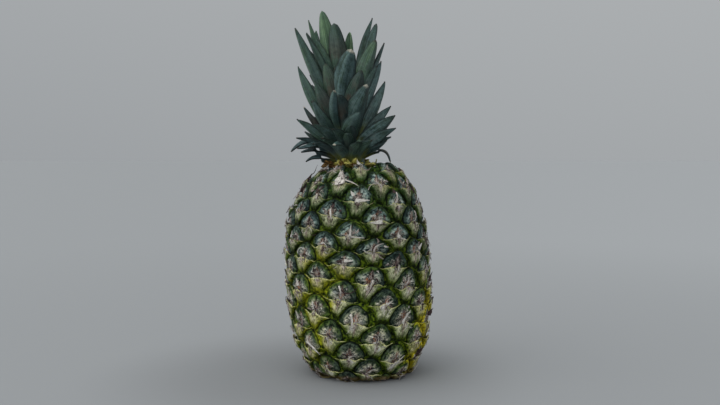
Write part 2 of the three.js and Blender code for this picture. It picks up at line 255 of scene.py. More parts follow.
def domeFinish():
    # the upper part of a fruitlet: grey-green rim with faint arcs, pale rays, a dark seam, a fibrous middle
    # and a dark edge with a thin black line of painted groove shade
    colours = domeColours
    finish = RindFinish("fruitletDome", 170, colours)
    mix, between, under, speckle = finish.mix, finish.between, finish.under, finish.speckle
    fleck, patch, broad, chance = finish.fleck, finish.patch, finish.broad, finish.chance
    across, down = finish.pieceMap("cell")
    down = (down - 0.5) * 2
    reach = (across * across + down * down + 0.0004) ** 0.5
    dome = finish.toneLayer("Alpha") * 2
    turned = finish.join(across / reach * 2.6, down / reach * 2.6, reach * 1.1 + chance * 19)
    rays = speckle(turned, 2.6, 4, 0.7)
    ringed = finish.join(across / reach * 0.9, down / reach * 0.9, reach * 7 + chance * 11)
    arcs = speckle(ringed, 1.3, 4, 0.65)
    side = abs(across + (patch - 0.5) * 0.3 + (chance - 0.5) * 0.2)
    edge = dome + (patch - 0.5) * 0.12

    rim = mix(finish.upper, colours["rimLow"], colours["rimHigh"])
    rim = mix(between(arcs * 0.5 + rays * 0.3 + fleck * 0.2, 0.42, 0.57), colours["rimGap"], rim)
    green = mix(finish.spread, colours["greenGap"], colours["green"])
    rim = mix(between(broad + patch * 0.5 + finish.ripe * 0.3, 0.72, 0.96), rim, green)

    bloom = mix(finish.upper, colours["bloomLow"], colours["bloomHigh"])
    streaks = arcs * 0.5 + rays * 0.25 + fleck * 0.25
    bloom = mix(between(streaks, 0.42, 0.56), colours["bloomGap"], bloom)
    plates = between(side, 0.02, 0.2) * under(reach + (patch - 0.5) * 0.5, 0.42, 0.78)
    skin = mix(plates * between(broad + patch * 0.6 + finish.shade * 0.3, 0.74, 0.98) * 0.92, rim, bloom)

    inner = under(reach + down * -0.15 + (arcs - 0.5) * 0.3, 0.26, 0.62)
    pale = mix(fleck, colours["rayShade"], colours["ray"])
    skin = mix(between(rays, 0.48, 0.58) * inner * 0.9, skin, pale)
    skin = mix(under(rays, 0.34, 0.45) * inner * 0.92, skin, colours["rayGap"])
    seam = under(side, 0.03, 0.09) * between(down, -0.9, -0.6) * under(down, 0.0, 0.2)
    skin = mix(seam * between(chance + fleck * 0.3, 0.35, 0.6) * 0.9, skin, colours["seam"])

    fibres = speckle(finish.join(across * 13, down * 2.2, chance * 23), 1.7, 3, 0.65)
    middle = under(side * 1.8 + (fibres - 0.5) * 0.8 - down * 0.25, 0.10, 0.42)
    middle = middle * between(down + (fleck - 0.5) * 0.6, -0.6, -0.2)
    tan = mix(between(patch, 0.42, 0.56), colours["tan"], colours["rust"])
    fibre = mix(between(fibres, 0.38, 0.47), colours["fibreGap"], tan)
    fibre = mix(between(fibres, 0.48, 0.57), fibre, colours["fibre"])
    skin = mix(middle * between(fleck, 0.25, 0.45), skin, fibre)

    limeShare = between(edge + finish.gold * 0.3, 0.80, 1.06) * finish.ripened
    skin = mix(limeShare * 0.85, skin, finish.lime())
    ditch = mix(finish.high, colours["ditchLow"], colours["ditchHigh"])
    ditch = mix(between(fleck * 0.6 + patch * 0.4, 0.42, 0.57), colours["ditchShade"], ditch)
    skin = mix(between(edge, 0.93, 1.03) * (1 - limeShare * 0.8) * 0.9, skin, ditch)
    # a thin black line of painted shade where the dome drops into the groove
    grooveShadeLine = between(edge, 0.91, 0.955) * under(edge, 0.98, 1.03)
    skin = mix(grooveShadeLine * 0.85, skin, colours["grooveShadeLine"])

    # clouds: random dark patches, shifted darker towards each dome's right side as painted shade
    clouds = between(speckle(finish.spot, 210, 2, 0.6) - across * 0.02 + inner * 0.07, 0.40, 0.56)
    skin = finish.wrapUp(skin, clouds)
    relief = rays * inner * 1.4 + fleck * 0.7 + arcs * 0.8 + patch * 0.5 + fibres * middle * 1.2
    return finish.show(skin, 0.46 + patch * 0.25, relief, 0.0028)


bractColours = {
    "greenGap": (0.012, 0.028, 0.002), "lush": (0.135, 0.205, 0.020), "lushWarm": (0.210, 0.265, 0.010),
    "lushHigh": (0.092, 0.190, 0.060), "strawGap": (0.125, 0.165, 0.060), "straw": (0.68, 0.70, 0.53),
    "strawWarm": (0.76, 0.70, 0.42), "fibreGap": (0.045, 0.028, 0.030), "fibreMid": (0.32, 0.245, 0.215),
    "fibre": (0.84, 0.78, 0.68), "limeShade": (0.030, 0.052, 0.002), "goldShade": (0.23, 0.20, 0.010),
    "lime": (0.36, 0.38, 0.022), "gold": (0.61, 0.53, 0.036), "lipShade": (0.24, 0.28, 0.07),
    "lip": (0.86, 0.84, 0.50), "footShade": (0.008, 0.018, 0.001), "foot": (0.070, 0.110, 0.005),
    "speck": (0.016, 0.021, 0.008),
    "cloud": (0.48, 0.52, 0.46), "gain": (1.43, 1.37, 1.36), "heel": (0.21, 0.14, 0.05),
}


def bractFinish():
    # the bract over the lower half: pale fan with grey-pink fibres, green flanks, a yellow-green lip
    # and a dark foot
    colours = bractColours
    finish = RindFinish("fruitletBract", 160, colours)
    mix, between, under, speckle = finish.mix, finish.between, finish.under, finish.speckle
    fleck, patch, broad, chance = finish.fleck, finish.patch, finish.broad, finish.chance
    across, up = finish.pieceMap("bract")
    side = abs(across)
    fanned = up * 0.9 + 0.35
    veins = speckle(finish.join(across * 7 / fanned, up * 1.3, chance * 31), 2.0, 4, 0.68)
    fine = speckle(finish.join(across * 22 / fanned, up * 2.2, chance * 17), 2.0, 2, 0.6)
    comb = veins * 0.6 + fine * 0.4

    warm = between(finish.ripe + (broad - 0.5) * 0.9, 0.25, 0.65)
    lush = mix(finish.high, mix(warm, colours["lush"], colours["lushWarm"]), colours["lushHigh"])
    green = mix(between(veins * 0.45 + fleck * 0.55, 0.40, 0.56), colours["greenGap"], lush)
    bright = mix(warm, colours["straw"], colours["strawWarm"])
    straw = mix(between(comb * 0.75 + fleck * 0.25, 0.38, 0.60), colours["strawGap"], bright)
    reach = side * (1.75 - up * 0.75) + (veins - 0.5) * 0.7 + (patch - 0.5) * 0.3
    fan = under(reach, 0.25, 0.95) * between(up + (veins - 0.5) * 0.4, 0.10, 0.55)
    skin = mix(fan * 0.97, green, straw)

    stops = (0.40, colours["fibreGap"]), (0.48, colours["fibreMid"]), (0.58, colours["fibre"])
    middle = under(side * 2.6 + (1 - up) * 0.75 + (veins - 0.5) * 0.8 - finish.shade * 0.25, 0.15, 0.62)
    skin = mix(middle * 0.95, skin, finish.ramp(comb, *stops))

    limeShare = finish.ripened * (1 - fan * 0.85)
    skin = mix(limeShare * 0.85, skin, finish.lime())
    lip = between(up, 0.90, 0.96) * between(veins + patch, 0.78, 0.98) * under(side, 0.8, 0.98)
    skin = mix(lip * 0.85, skin, mix(fine, colours["lipShade"], colours["lip"]))
    foot = under(up + (patch - 0.5) * 0.25 - side * 0.16, 0.0, 0.20) * (1 - limeShare * 0.6)
    skin = mix(foot * 0.85, skin, mix(finish.spread, colours["footShade"], colours["foot"]))
    skin = mix(under(fleck, 0.32, 0.43) * 0.6, skin, colours["speck"])

    skin = finish.wrapUp(skin, between(speckle(finish.spot, 190, 2, 0.6), 0.38, 0.54))
    return finish.show(skin, 0.5 + patch * 0.2, comb * 1.6 + fleck * 0.5, 0.0026)


paperColours = {
    "cream": [(0.42, 0.38, 0.33), (0.92, 0.90, 0.84)], "pink": [(0.13, 0.090, 0.088), (0.60, 0.51, 0.45)],
    "brown": [(0.012, 0.008, 0.010), (0.11, 0.070, 0.064)],
}


def tipFinish():
    # dry papery tips, fibres and flakes: grey-pink to white, browner with age and towards the end
    finish = Finish("dryPaper", IOR=1.4, Specular_IOR_Level=0.25)
    across, along = finish.pieceMap("strip")
    shade, age, chance = finish.tones()
    fibre = finish.speckle(finish.join(across * 4.5 + 4.5, along * 1.8, chance * 23), 2.0, 3, 0.65)
    patch = finish.speckle(finish.place(), 420, 3, 0.65)
    spread = finish.between(fibre, 0.36, 0.62)
    cream, pink, brown = [finish.mix(spread, *pair) for pair in paperColours.values()]
    skin = finish.mix(finish.between(shade, 0.35, 0.85), pink, cream)
    worn = age * 0.9 + (patch - 0.5) * 1.2 + along * 0.2
    skin = finish.mix(finish.between(worn, 0.40, 0.75), skin, brown)
    return finish.show(skin, 0.5 + patch * 0.25, fibre + patch, 0.0009, 0.8)


leafColours = {
    "deepGap": (0.010, 0.021, 0.019), "deep": (0.036, 0.067, 0.063), "youngGap": (0.062, 0.118, 0.058),
    "young": (0.152, 0.236, 0.134), "bloomShade": (0.060, 0.106, 0.108), "bloom": (0.190, 0.285, 0.290),
    "rustShade": (0.034, 0.028, 0.020), "rust": (0.100, 0.082, 0.060), "mottle": (0.66, 0.70, 0.74),
    # lit and turned are painted light and painted shade for the two halves of a leaf; edge is painted shade
    "lit": (1.10, 1.09, 1.07), "turned": (0.64, 0.69, 0.71), "edge": (0.006, 0.011, 0.010),
    "footShade": (0.035, 0.042, 0.010), "foot": (0.22, 0.23, 0.045), "darkTipShade": (0.010, 0.009, 0.008),
    "darkTip": (0.060, 0.052, 0.040), "paleTipShade": (0.12, 0.115, 0.09), "paleTip": (0.56, 0.54, 0.44),
    "gain": (1.70, 1.66, 1.72),
}


def leafFinish():
    # tough leaf: blue-green under a grey bloom, fine lengthwise ribs, brown weathering, painted light on one
    # half and painted shade on the other, a dark edge of painted shade, a yellowish foot and a dry tip
    colours = leafColours
    finish = Finish("crownLeaf", IOR=1.45, Specular_IOR_Level=0.3)
    mix, between, under, speckle = finish.mix, finish.between, finish.under, finish.speckle
    across, along = finish.pieceMap("leaf")
    fresh, dry, brown = finish.tones()
    place = finish.place()
    ribs = speckle(finish.join(across * 11 + 11, along * 0.8, brown * 29 + fresh * 7), 2.4, 3, 0.6)
    streak = speckle(finish.join(across * 2.5 + 2.5, along * 1.8, dry * 13 + fresh * 5), 1.8, 4, 0.65)
    patch = speckle(place, 70, 4, 0.62)
    fine = speckle(place, 420, 3, 0.65)

    ridged = between(ribs, 0.34, 0.64)
    deep = mix(ridged, colours["deepGap"], colours["deep"])
    skin = mix(fresh, deep, mix(ridged, colours["youngGap"], colours["young"]))
    bloom = between(streak * 0.35 + patch * 0.45 + fine * 0.2, 0.42, 0.58)
    ashen = between(dry, 0.85, 1.0) * 0.3
    misty = (bloom * 0.62 + ashen) * (1 - fresh * 0.7) * (1 - brown * 0.55)
    skin = mix(misty, skin, mix(fine, colours["bloomShade"], colours["bloom"]))
    weather = between(along, 0.12, 0.4) * (1 - between(along, 0.55, 0.92) * 0.8)
    rust = between(patch + (streak - 0.5) * 0.6 + brown * 0.16, 0.52, 0.70) * weather
    skin = mix(rust * (0.26 + brown * 0.6), skin, mix(fine, colours["rustShade"], colours["rust"]))

    mottle = between(speckle(place, 150, 4, 0.7) * 0.6 + ribs * 0.4, 0.40, 0.58)
    skin = mix(mottle, finish.tinted(skin, colours["mottle"]), skin)
    # painted light on one half of each leaf and painted shade on the other, across the leaf
    turned = between(across * 0.5 + (streak - 0.5) * 0.25, -0.04, 0.16)
    skin = mix(turned, finish.tinted(skin, colours["lit"]), finish.tinted(skin, colours["turned"]))
    # the dark edge is painted shade along the leaf's sides, where leaves overlap
    skin = mix(between(abs(across), 0.80, 0.97) * (0.8 - fresh * 0.55), skin, colours["edge"])
    foot = under(along + (fine - 0.5) * 0.2, 0.10, 0.34)
    skin = mix(foot * 0.75, skin, mix(fine, colours["footShade"], colours["foot"]))
    dark = mix(fine, colours["darkTipShade"], colours["darkTip"])
    pale = mix(fine, colours["paleTipShade"], colours["paleTip"])
    tip = between(along + (fine - 0.5) * 0.06, 0.92, 0.975) * between(dry, 0.2, 0.6)
    skin = mix(tip * 0.9, skin, mix(between(dry, 0.72, 0.8), dark, pale))
    skin = finish.bolder(skin, 1.14, colours["gain"])
    return finish.show(skin, 0.42 + bloom * 0.16 + fine * 0.1, ribs + fine * 0.5, 0.0010, 0.8)


collarColours = {
    "yellow": [(0.21, 0.20, 0.026), (0.78, 0.72, 0.20)],
    "brown": [(0.012, 0.008, 0.003), (0.20, 0.105, 0.026)],
}


def collarFinish():
    # the short bracts under the crown: yellow foot, orange-brown dry ends
    finish = Finish("collarBract", IOR=1.45, Specular_IOR_Level=0.25)
    across, along = finish.pieceMap("leaf")
    _, dry, chance = finish.tones()
    ribs = finish.speckle(finish.join(across * 6 + 6, along * 1.2, chance * 29), 2.2, 3, 0.6)
    patch = finish.speckle(finish.place(), 170, 3, 0.6)
    ridged = finish.between(ribs, 0.38, 0.6)
    yellow, brown = [finish.mix(ridged, *pair) for pair in collarColours.values()]
    share = finish.between(along * 0.3 + (patch - 0.5) * 1.3 + dry * 0.7, 0.36, 0.66)
    return finish.show(finish.mix(share, yellow, brown), 0.5 + patch * 0.2, ribs, 0.0007, 0.7)


cutColours = {
    "stalk": [(0.20, 0.13, 0.065), (0.52, 0.40, 0.25)], "ring": [(0.13, 0.10, 0.045), (0.38, 0.31, 0.16)],
}


def cutFinish():
    # the cut base: dry fibrous stalk inside a ring of tan skin
    finish = Finish("cutBase", IOR=1.4, Specular_IOR_Level=0.2)
    place = finish.place()
    x, y, _ = finish.parts(place)
    reach = (x * x + y * y + 1e-9) ** 0.5 / (30 * mm)
    patch = finish.speckle(place, 130, 4, 0.6)
    rayed = finish.join(x / (reach + 0.02) * 60, y / (reach + 0.02) * 60, reach * 2)
    fibre = finish.speckle(rayed, 3.0, 3, 0.6)
    stalk = finish.mix(finish.speckle(place, 700, 2, 0.7), *cutColours["stalk"])
    ring = finish.mix(fibre, *cutColours["ring"])
    skin = finish.mix(finish.between(reach + (patch - 0.5) * 0.16, 0.40, 0.50), stalk, ring)
    return finish.show(skin, 0.7 + patch * 0.15, fibre + patch, 0.0008, 0.7)


# The spiral of fruitlets, as in the solid

rindPlan = {
    "wobble": 1.0, "wobbleSize": 13, "wobbleFoot": 12, "arch": 0.1, "tilt": 4.5, "tiltFrom": 115,
    "tiltTo": 172, "seat": 176.5, "leastRing": 12,
}

outlinePlan = {
    "radius": 62.3, "widest": 83, "rise": 100.5, "drop": 100,
    "topFullness": 2.8, "baseFullness": 2.6, "sideFullness": 2.4, "rounding": 2.5,
    "lean": 0.042, "cutRadius": 29, "steps": 700,
}

spiralPlan = {
    "turn": 41.91, "start": 3.75, "firstDrop": -73.5, "step": 1.672,
    "waveAlong": 1.0, "waveAcross": 2.65, "period": 80, "tilt": 3.8, "squeeze": 12.5, "spread": 4.5,
    "first": -21, "last": 103, "short": 8, "long": 9, "below": 17, "jitter": 1.3, "cornerDrop": 3,
    "pinch": 2.8,
}

# fruitlets that sit off the even spiral: millimetres to the right and down, rounded from a fit to the photo
unevenPlaces = {
    -17: (0, -4), -16: (3, 3), -9: (-2, -2), -1: (-4, -4), 1: (-1, 2), 9: (-2, 2), 16: (0, -3), 17: (-1, 3),
    24: (5, 0), 27: (5, -2), 33: (4, -1), 35: (4, -3), 36: (4, 2), 43: (5, -2), 44: (-4, -1), 51: (6, -1),
    52: (-2, 3), 59: (6, -2), 60: (-4, 3), 61: (0, -4), 67: (6, -4), 68: (-2, 2), 70: (3, -2), 76: (-3, -2),
    77: (-1, 2), 78: (0, 3), 85: (-2, 4),
}

# where the rind is ripest: facing in degrees, height, reach around and up, strength
ripePlan = {
    "least": 0.22,
    "spots": [
        (-26, 84, 20, 22, 0.85), (66, 46, 18, 42, 0.8), (10, 168, 70, 16, 0.2), (-50, 40, 24, 36, 0.7),
        (150, 70, 35, 35, 0.8), (-150, 120, 30, 30, 0.5),
    ],
}


def drawsFrom(seed):
    state = seed
    while True:
        state = (state * 16807) % 2147483647
        yield 2 * state / 2147483647 - 1


def traceOutline():
    plan = outlinePlan
    rows = []
    for i in range(2 * plan["steps"] + 1):
        angle = math.pi * i / (2 * plan["steps"])
        upper = i < plan["steps"]
        rise = abs(math.cos(angle)) ** (2 / (plan["topFullness"] if upper else plan["baseFullness"]))
        height = plan["widest"] + (plan["rise"] if upper else -plan["drop"]) * rise
        softened = (height + math.hypot(height, plan["rounding"])) / 2 - plan["rounding"] / 10
        radius = plan["radius"] * abs(math.sin(angle)) ** (2 / plan["sideFullness"])
        rows.append((radius, max(0, softened)))
    alongs = [0]
    for (r0, z0), (r1, z1) in zip(rows, rows[1:]):
        alongs.append(alongs[-1] + math.hypot(r1 - r0, z1 - z0))
    widest = alongs[plan["steps"]]
    return rows, [along - widest for along in alongs]


outlineRows, outlineAlongs = traceOutline()


def outlineAt(along):
    low = min(max(bisect_right(outlineAlongs, along) - 1, 0), len(outlineRows) - 2)
    (r0, z0), (r1, z1) = outlineRows[low], outlineRows[low + 1]
    span = outlineAlongs[low + 1] - outlineAlongs[low] or 1
    share = min(max((along - outlineAlongs[low]) / span, 0), 1)
    length = math.hypot(r1 - r0, z1 - z0) or 1
    return r0 + (r1 - r0) * share, z0 + (z1 - z0) * share, (z0 - z1) / length, (r1 - r0) / length


def rindPoint(degrees, along, out):
    radius, height, outAcross, outUp = outlineAt(along)
    angle = math.radians(degrees)
    reach = radius + out * outAcross
    flat = height < 0.5 and reach < outlinePlan["cutRadius"] + 6
    z = 0 if flat else max(0, height + out * outUp)
    tilted = z + rindPlan["tilt"] * math.sin(angle) * smoothStep(z, rindPlan["tiltFrom"], rindPlan["tiltTo"])
    point = Vector((reach * math.sin(angle) - outlinePlan["lean"] * z, -reach * math.cos(angle), tilted))
    shift = noise.noise_vector(point / rindPlan["wobbleSize"]) * rindPlan["wobble"]
    point += shift * smoothStep(z, 0, rindPlan["wobbleFoot"])
    return point * mm


def placeFruitlets():
    plan = spiralPlan
    draw = drawsFrom(4021)
    places = {}
    for i in range(plan["first"] - plan["below"], plan["last"] + plan["below"] + 1):
        degrees = plan["start"] + plan["turn"] * i
        wave = 2 * math.pi * i / plan["period"]
        along = plan["firstDrop"] + plan["step"] * i
        along += plan["waveAlong"] * math.sin(wave) + plan["waveAcross"] * math.cos(wave)
        along += plan["tilt"] * math.sin(math.radians(degrees))
        angle = math.radians(degrees)
        degrees += plan["spread"] * math.sin(2 * angle) - plan["squeeze"] * math.sin(angle)
        ring = max(20, outlineAt(along)[0])
        shift = plan["jitter"] * next(draw), plan["jitter"] * next(draw)
        right, down = unevenPlaces.get(i, shift)
        degrees += math.degrees(right / ring)
        along += down
        places[i] = {"degrees": degrees, "along": along, "bulge": next(draw), "twist": next(draw)}
    return places


def perDegreeAt(along):
    # millimetres round the rind for one degree
    return math.radians(1) * max(rindPlan["leastRing"], outlineAt(along)[0])


def cornerTrios(i):
    short, long, below = spiralPlan["short"], spiralPlan["long"], spiralPlan["below"]
    return [
        (i - long, i, i + short), (i - below, i - long, i), (i - below, i - short, i),
        (i - short, i, i + long), (i, i + long, i + below), (i, i + short, i + below),
    ]


def smoothStep(value, low, high):
    share = min(max((value - low) / (high - low), 0), 1)
    return share * share * (3 - 2 * share)


class Fruitlet:
    # one cell of the rind: its middle, its six corners clockwise from the left, and its own chances
    def __init__(self, index, places):
        middle = places[index]
        self.index = index
        self.degrees = middle["degrees"]
        self.along = middle["along"]
        self.bulge = middle["bulge"]
        self.twist = middle["twist"]
        self.corners = []
        for order, trio in enumerate(cornerTrios(index)):
            near = [places[k] for k in trio]
            turned = [p["degrees"] + 360 * round((self.degrees - p["degrees"]) / 360) for p in near]
            along = sum(p["along"] for p in near) / 3 + spiralPlan["cornerDrop"]
            pinch = spiralPlan["pinch"] * (1 if order % 2 else -1)
            self.corners.append((sum(turned) / 3 + pinch, along))
        left, upLeft, upRight, right, lowRight, lowLeft = self.corners
        self.perDegree = perDegreeAt(self.along)
        self.halfWide = (right[0] - left[0]) / 2 * self.perDegree
        self.halfTall = (lowRight[1] + lowLeft[1] - upLeft[1] - upRight[1]) / 4
        self.random = random.Random(500 + index)
        self.seed = Vector((index * 3.7, index * 1.3, 0))
        self.shade = self.random.random()
        self.chance = self.random.random()

    def tone(self, degrees, along):
        # its shade, how yellow-green its grooves are by the spots of ripePlan, and its chance
        height = outlineAt(along)[1]
        ripe = ripePlan["least"]
        for facing, level, wide, tall, weight in ripePlan["spots"]:
            gap = (degrees - facing + 180) % 360 - 180
            ripe += weight * math.exp(-((gap / wide) ** 2) - ((height - level) / tall) ** 2)
        return self.shade, min(1, ripe), self.chance

    def edge(self, turn):
        # a point of the cell's border, turn from 0 to 6 clockwise from the left corner
        # each side arches upwards, so tops are round and the feet of the bracts are hollow
        first = int(turn) % 6
        share = turn - int(turn)
        a, b = self.corners[first], self.corners[(first + 1) % 6]
        perDegree = perDegreeAt((a[1] + b[1]) / 2)
        up = Vector((b[1] - a[1], (a[0] - b[0]) * perDegree))
        lift = rindPlan["arch"] * 4 * share * (1 - share) * (-1 if up.y > 0 else 1)
        degrees = a[0] + (b[0] - a[0]) * share + lift * up.x / perDegree
        return degrees, a[1] + (b[1] - a[1]) * share + lift * up.y

    def offset(self, degrees, along):
        return (degrees - self.degrees) * self.perDegree / self.halfWide, (along - self.along) / self.halfTall


def buildFruitlets():
    places = placeFruitlets()
    return [Fruitlet(i, places) for i in range(spiralPlan["first"], spiralPlan["last"] + 1)]


fruitlets = buildFruitlets()
print("pineapple:", len(fruitlets), "fruitlets placed")


# Helpers for pieces

def finishPiece(bm, name, material, node, slotName):
    mesh = bpy.data.meshes.new(name)
    bmesh.ops.recalc_face_normals(bm, faces=bm.faces)
    for vert in bm.verts:
        vert.co.z = max(vert.co.z, 0)
    bm.to_mesh(mesh)
    bm.free()
    for polygon in mesh.polygons:
        polygon.use_smooth = True
    piece = bpy.data.objects.new(name, mesh)
    bpy.context.scene.collection.objects.link(piece)
    mesh.materials.append(material)
    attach(piece, "root")
    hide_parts(node)
    return piece


def thicken(bm, wall):
    # gives a sheet its thickness, in millimetres, on the inner side
    bmesh.ops.recalc_face_normals(bm, faces=bm.faces)
    bm.normal_update()
    push = bm.verts.layers.float_vector.new("push")
    for vert in bm.verts:
        vert[push] = vert.normal
    made = bmesh.ops.extrude_face_region(bm, geom=bm.faces[:], use_keep_orig=True)["geom"]
    for vert in made:
        if isinstance(vert, bmesh.types.BMVert):
            vert.co -= vert[push] * wall * mm
    bm.verts.layers.float_vector.remove(push)


def gridPattern(columns, rows):
    # a flat grid from (-1, 0) to (1, 1): across and along
    bm = bmesh.new()
    bmesh.ops.create_grid(bm, x_segments=columns, y_segments=rows, size=1)
    for vert in bm.verts:
        vert.co.y = (vert.co.y + 1) / 2
    mesh = bpy.data.meshes.new("pattern")
    bm.to_mesh(mesh)
    bm.free()
    return mesh


class Sheet:
    # a mesh made of copies of one flat pattern, with its own UV map and its tones
    def __init__(self, mapName, pattern=None):
        self.bm = bmesh.new()
        self.uv = self.bm.loops.layers.uv.new(mapName)
        self.tone = self.bm.verts.layers.float_color.new("tone")
        self.pattern = pattern

    def add(self, foot=0):
        # adds a copy, keeps its flat shape in the UV map, y from foot to 1, and returns its verts
        vertCount, faceCount = len(self.bm.verts), len(self.bm.faces)
        self.bm.from_mesh(self.pattern)
        self.bm.verts.ensure_lookup_table()
        self.bm.faces.ensure_lookup_table()
        for face in self.bm.faces[faceCount:]:
            for loop in face.loops:
                flat = loop.vert.co
                loop[self.uv].uv = (flat.x / 2 + 0.5, (flat.y - foot) / (1 - foot))
        return self.bm.verts[vertCount:]

    def finish(self, name, material, wall, node, slotName):
        thicken(self.bm, wall)
        return finishPiece(self.bm, name, material, node, slotName)


# The rind: one dome for each fruitlet, all joined along the grooves

domePlan = {
    "spokes": 42, "rings": (0, 0.07, 0.15, 0.24, 0.33, 0.42, 0.52, 0.62, 0.71, 0.79, 0.86, 0.92, 0.965, 1),
    "groove": 3.1, "rise": 2.8, "bulge": 0.4, "fullness": 4.5, "shoulder": 0.6, "wide": 0.88, "tall": 1.0,
    "dent": 1.3, "ray": 0.25, "rays": 15, "lump": 0.6, "grain": 0.45, "underBract": 1.6,
    "crease": 0.8, "creases": (-0.75, -1.55, -2.4), "creaseWidth": 0.15,
}


def domeReach(x, y, share):
    # 0 in the middle of a fruitlet and 1 where its dome meets the groove
    oval = math.hypot(x / domePlan["wide"], y / domePlan["tall"])
    return (share ** 6 + oval ** 6) ** (1 / 6)


def domeHeight(cell, x, y, share):
    plan = domePlan
    reach = domeReach(x, y, share)
    shoulder = max(0, 1 - min(1, reach) ** plan["fullness"]) ** plan["shoulder"]
    lump = noise.noise(Vector((x * 1.5, y * 1.5, 0)) + cell.seed)
    grain = noise.noise(Vector((x * 5, y * 5, 4)) + cell.seed)
    out = -plan["groove"] + (plan["rise"] + plan["bulge"] * cell.bulge) * shoulder
    out += (plan["lump"] * lump + plan["grain"] * grain) * shoulder
    out -= plan["dent"] * math.exp(-((x - 0.1 * cell.twist) / 0.34) ** 2 - (y / 0.3) ** 2)
    angle = math.atan2(y, x)
    ringed = smoothStep(share, 0.08, 0.3) * (1 - smoothStep(share, 0.62, 0.88))
    out += plan["ray"] * math.sin(angle * plan["rays"] + 5 * cell.chance + 6 * lump) * ringed
    for crease in plan["creases"]:
        gap = (angle - crease - 0.35 * cell.twist - 0.6 * grain + math.pi) % (2 * math.pi) - math.pi
        out -= plan["crease"] * math.exp(-((gap / plan["creaseWidth"]) ** 2)) * ringed
    return out - plan["underBract"] * smoothStep(y, 0.0, 0.3) * shoulder


def discPattern():
    bm = bmesh.new()
    spoke = [bm.verts.new((ring, 0, 0)) for ring in domePlan["rings"]]
    links = [bm.edges.new(pair) for pair in zip(spoke, spoke[1:])]
    bmesh.ops.spin(bm, geom=spoke + links, cent=(0, 0, 0), axis=(0, 0, 1), angle=2 * math.pi,
                   steps=domePlan["spokes"], use_merge=True, use_duplicate=False)
    bmesh.ops.remove_doubles(bm, verts=bm.verts, dist=0.0001)
    mesh = bpy.data.meshes.new("disc")
    bm.to_mesh(mesh)
    bm.free()
    return mesh


basePlan = {
    "radius": 27.5, "stalk": 12.5, "ringWidth": 1.6, "sunk": 0.9, "low": 0.15, "rough": 0.25, "sides": 72,
    "rings": 7, "wall": 0.8, "hollow": 4,
}


def makeRind():
    sheet = Sheet("cell", discPattern())
    for cell in fruitlets:
        for vert in sheet.add(foot=-1):
            share = min(1, math.hypot(vert.co.x, vert.co.y))
            turn = ((math.pi - math.atan2(-vert.co.y, vert.co.x)) / (math.pi / 3)) % 6
            if abs(turn - round(turn)) < 0.001:
                turn = round(turn) % 6
            borderDegrees, borderAlong = cell.edge(turn)
            degrees = cell.degrees + share * (borderDegrees - cell.degrees)
            along = cell.along + share * (borderAlong - cell.along)
            x, y = cell.offset(degrees, along)
            out = domeHeight(cell, x, y, share) if share < 0.999 else -domePlan["groove"]
            vert.co = rindPoint(degrees, along, out)
            vert[sheet.tone] = (*cell.tone(degrees, along), domeReach(x, y, share) / 2)
    bmesh.ops.remove_doubles(sheet.bm, verts=sheet.bm.verts, dist=0.02 * mm)
    closeRind(sheet.bm, True)
    closeRind(sheet.bm, False)
    return finishPiece(sheet.bm, "rindDomes", domeFinish(), "fruit", "rind")


def closeRind(bm, atTop):
    # a low cap under the crown, or a hollow one at the foot
    loose = [edge for edge in bm.edges if edge.is_boundary]
    border = [edge for edge in loose if (edge.verts[0].co.z > outlinePlan["widest"] * mm) == atTop]
    for vert in {vert for edge in border for vert in edge.verts}:
        vert.co.z = min(vert.co.z, rindPlan["seat"] * mm) if atTop else 0
    filled = bmesh.ops.holes_fill(bm, edges=border, sides=0)["faces"]
    for vert in bmesh.ops.poke(bm, faces=filled)["verts"]:
        vert.co.z += (1 if atTop else basePlan["hollow"]) * mm


makeRind()
print("pineapple: rind made")


# The bracts: one overlapping the lower half of each fruitlet, with a free upper lip

bractPlan = {
    "columns": 28, "rows": 9, "foot": 0.985, "lipSag": 0.02, "lipWave": 0.17, "lipDroop": 10.45,
    "lipPeak": 0.1, "peakWidth": 0.16, "deep": 2.4, "belly": 2.7, "ends": 0.9,
    "keel": 0.35, "keelWidth": 0.12, "wall": 0.4, "crumple": 0.7, "lift": 0.35, "vein": 0.2, "veins": 27,
}


def bractPlace(cell, u, v):
    # place on the bract: u from -1 at the left corner to 1 at the right, v from 0 at the foot to 1 at the lip
    plan = bractPlan
    turn = (6 - (u + 1) / 2 * 3) % 6
    footDegrees, footAlong = cell.edge(turn)
    footDegrees = cell.degrees + plan["foot"] * (footDegrees - cell.degrees)
    footAlong = cell.along + plan["foot"] * (footAlong - cell.along)
    share = (u + 1) / 2
    left, right = cell.corners[0], cell.corners[3]
    wave = noise.noise(Vector((u * 2.6, 0, 9)) + cell.seed)
    lipDegrees = left[0] + (right[0] - left[0]) * (0.01 + 0.98 * share)
    lipAlong = left[1] + (right[1] - left[1]) * share
    lipAlong += cell.halfTall * (plan["lipSag"] + plan["lipWave"] * wave) * (1 - u * u) ** 0.7
    lipAlong += plan["lipDroop"] * abs(u) ** 3 * (1 - abs(u)) * (1 + 0.6 * wave)
    fromPeak = (u - 0.12 * cell.twist) / plan["peakWidth"]
    lipAlong -= cell.halfTall * plan["lipPeak"] * math.exp(-(fromPeak ** 2))
    degrees = footDegrees + (lipDegrees - footDegrees) * v
    along = footAlong + (lipAlong - footAlong) * v
    crumple = noise.noise(Vector((u * 2.6, v * 1.6, 3)) + cell.seed)
    fade = 1 - plan["ends"] * abs(u) ** 2.2
    out = -plan["deep"] + plan["belly"] * math.sin(math.pi / 2 * min(1, v / 0.8)) ** 0.8 * fade
    out += plan["keel"] * math.exp(-((u / plan["keelWidth"]) ** 2)) * v
    out += plan["crumple"] * crumple * min(1, 3 * v) * fade
    out += plan["lift"] * smoothStep(v, 0.75, 1) * (0.5 + 0.5 * cell.bulge) * fade
    ridges = math.sin(u * plan["veins"] + 9 * cell.chance + 4 * crumple)
    out += plan["vein"] * ridges * smoothStep(v, 0.1, 0.5) * fade
    return degrees, along, out


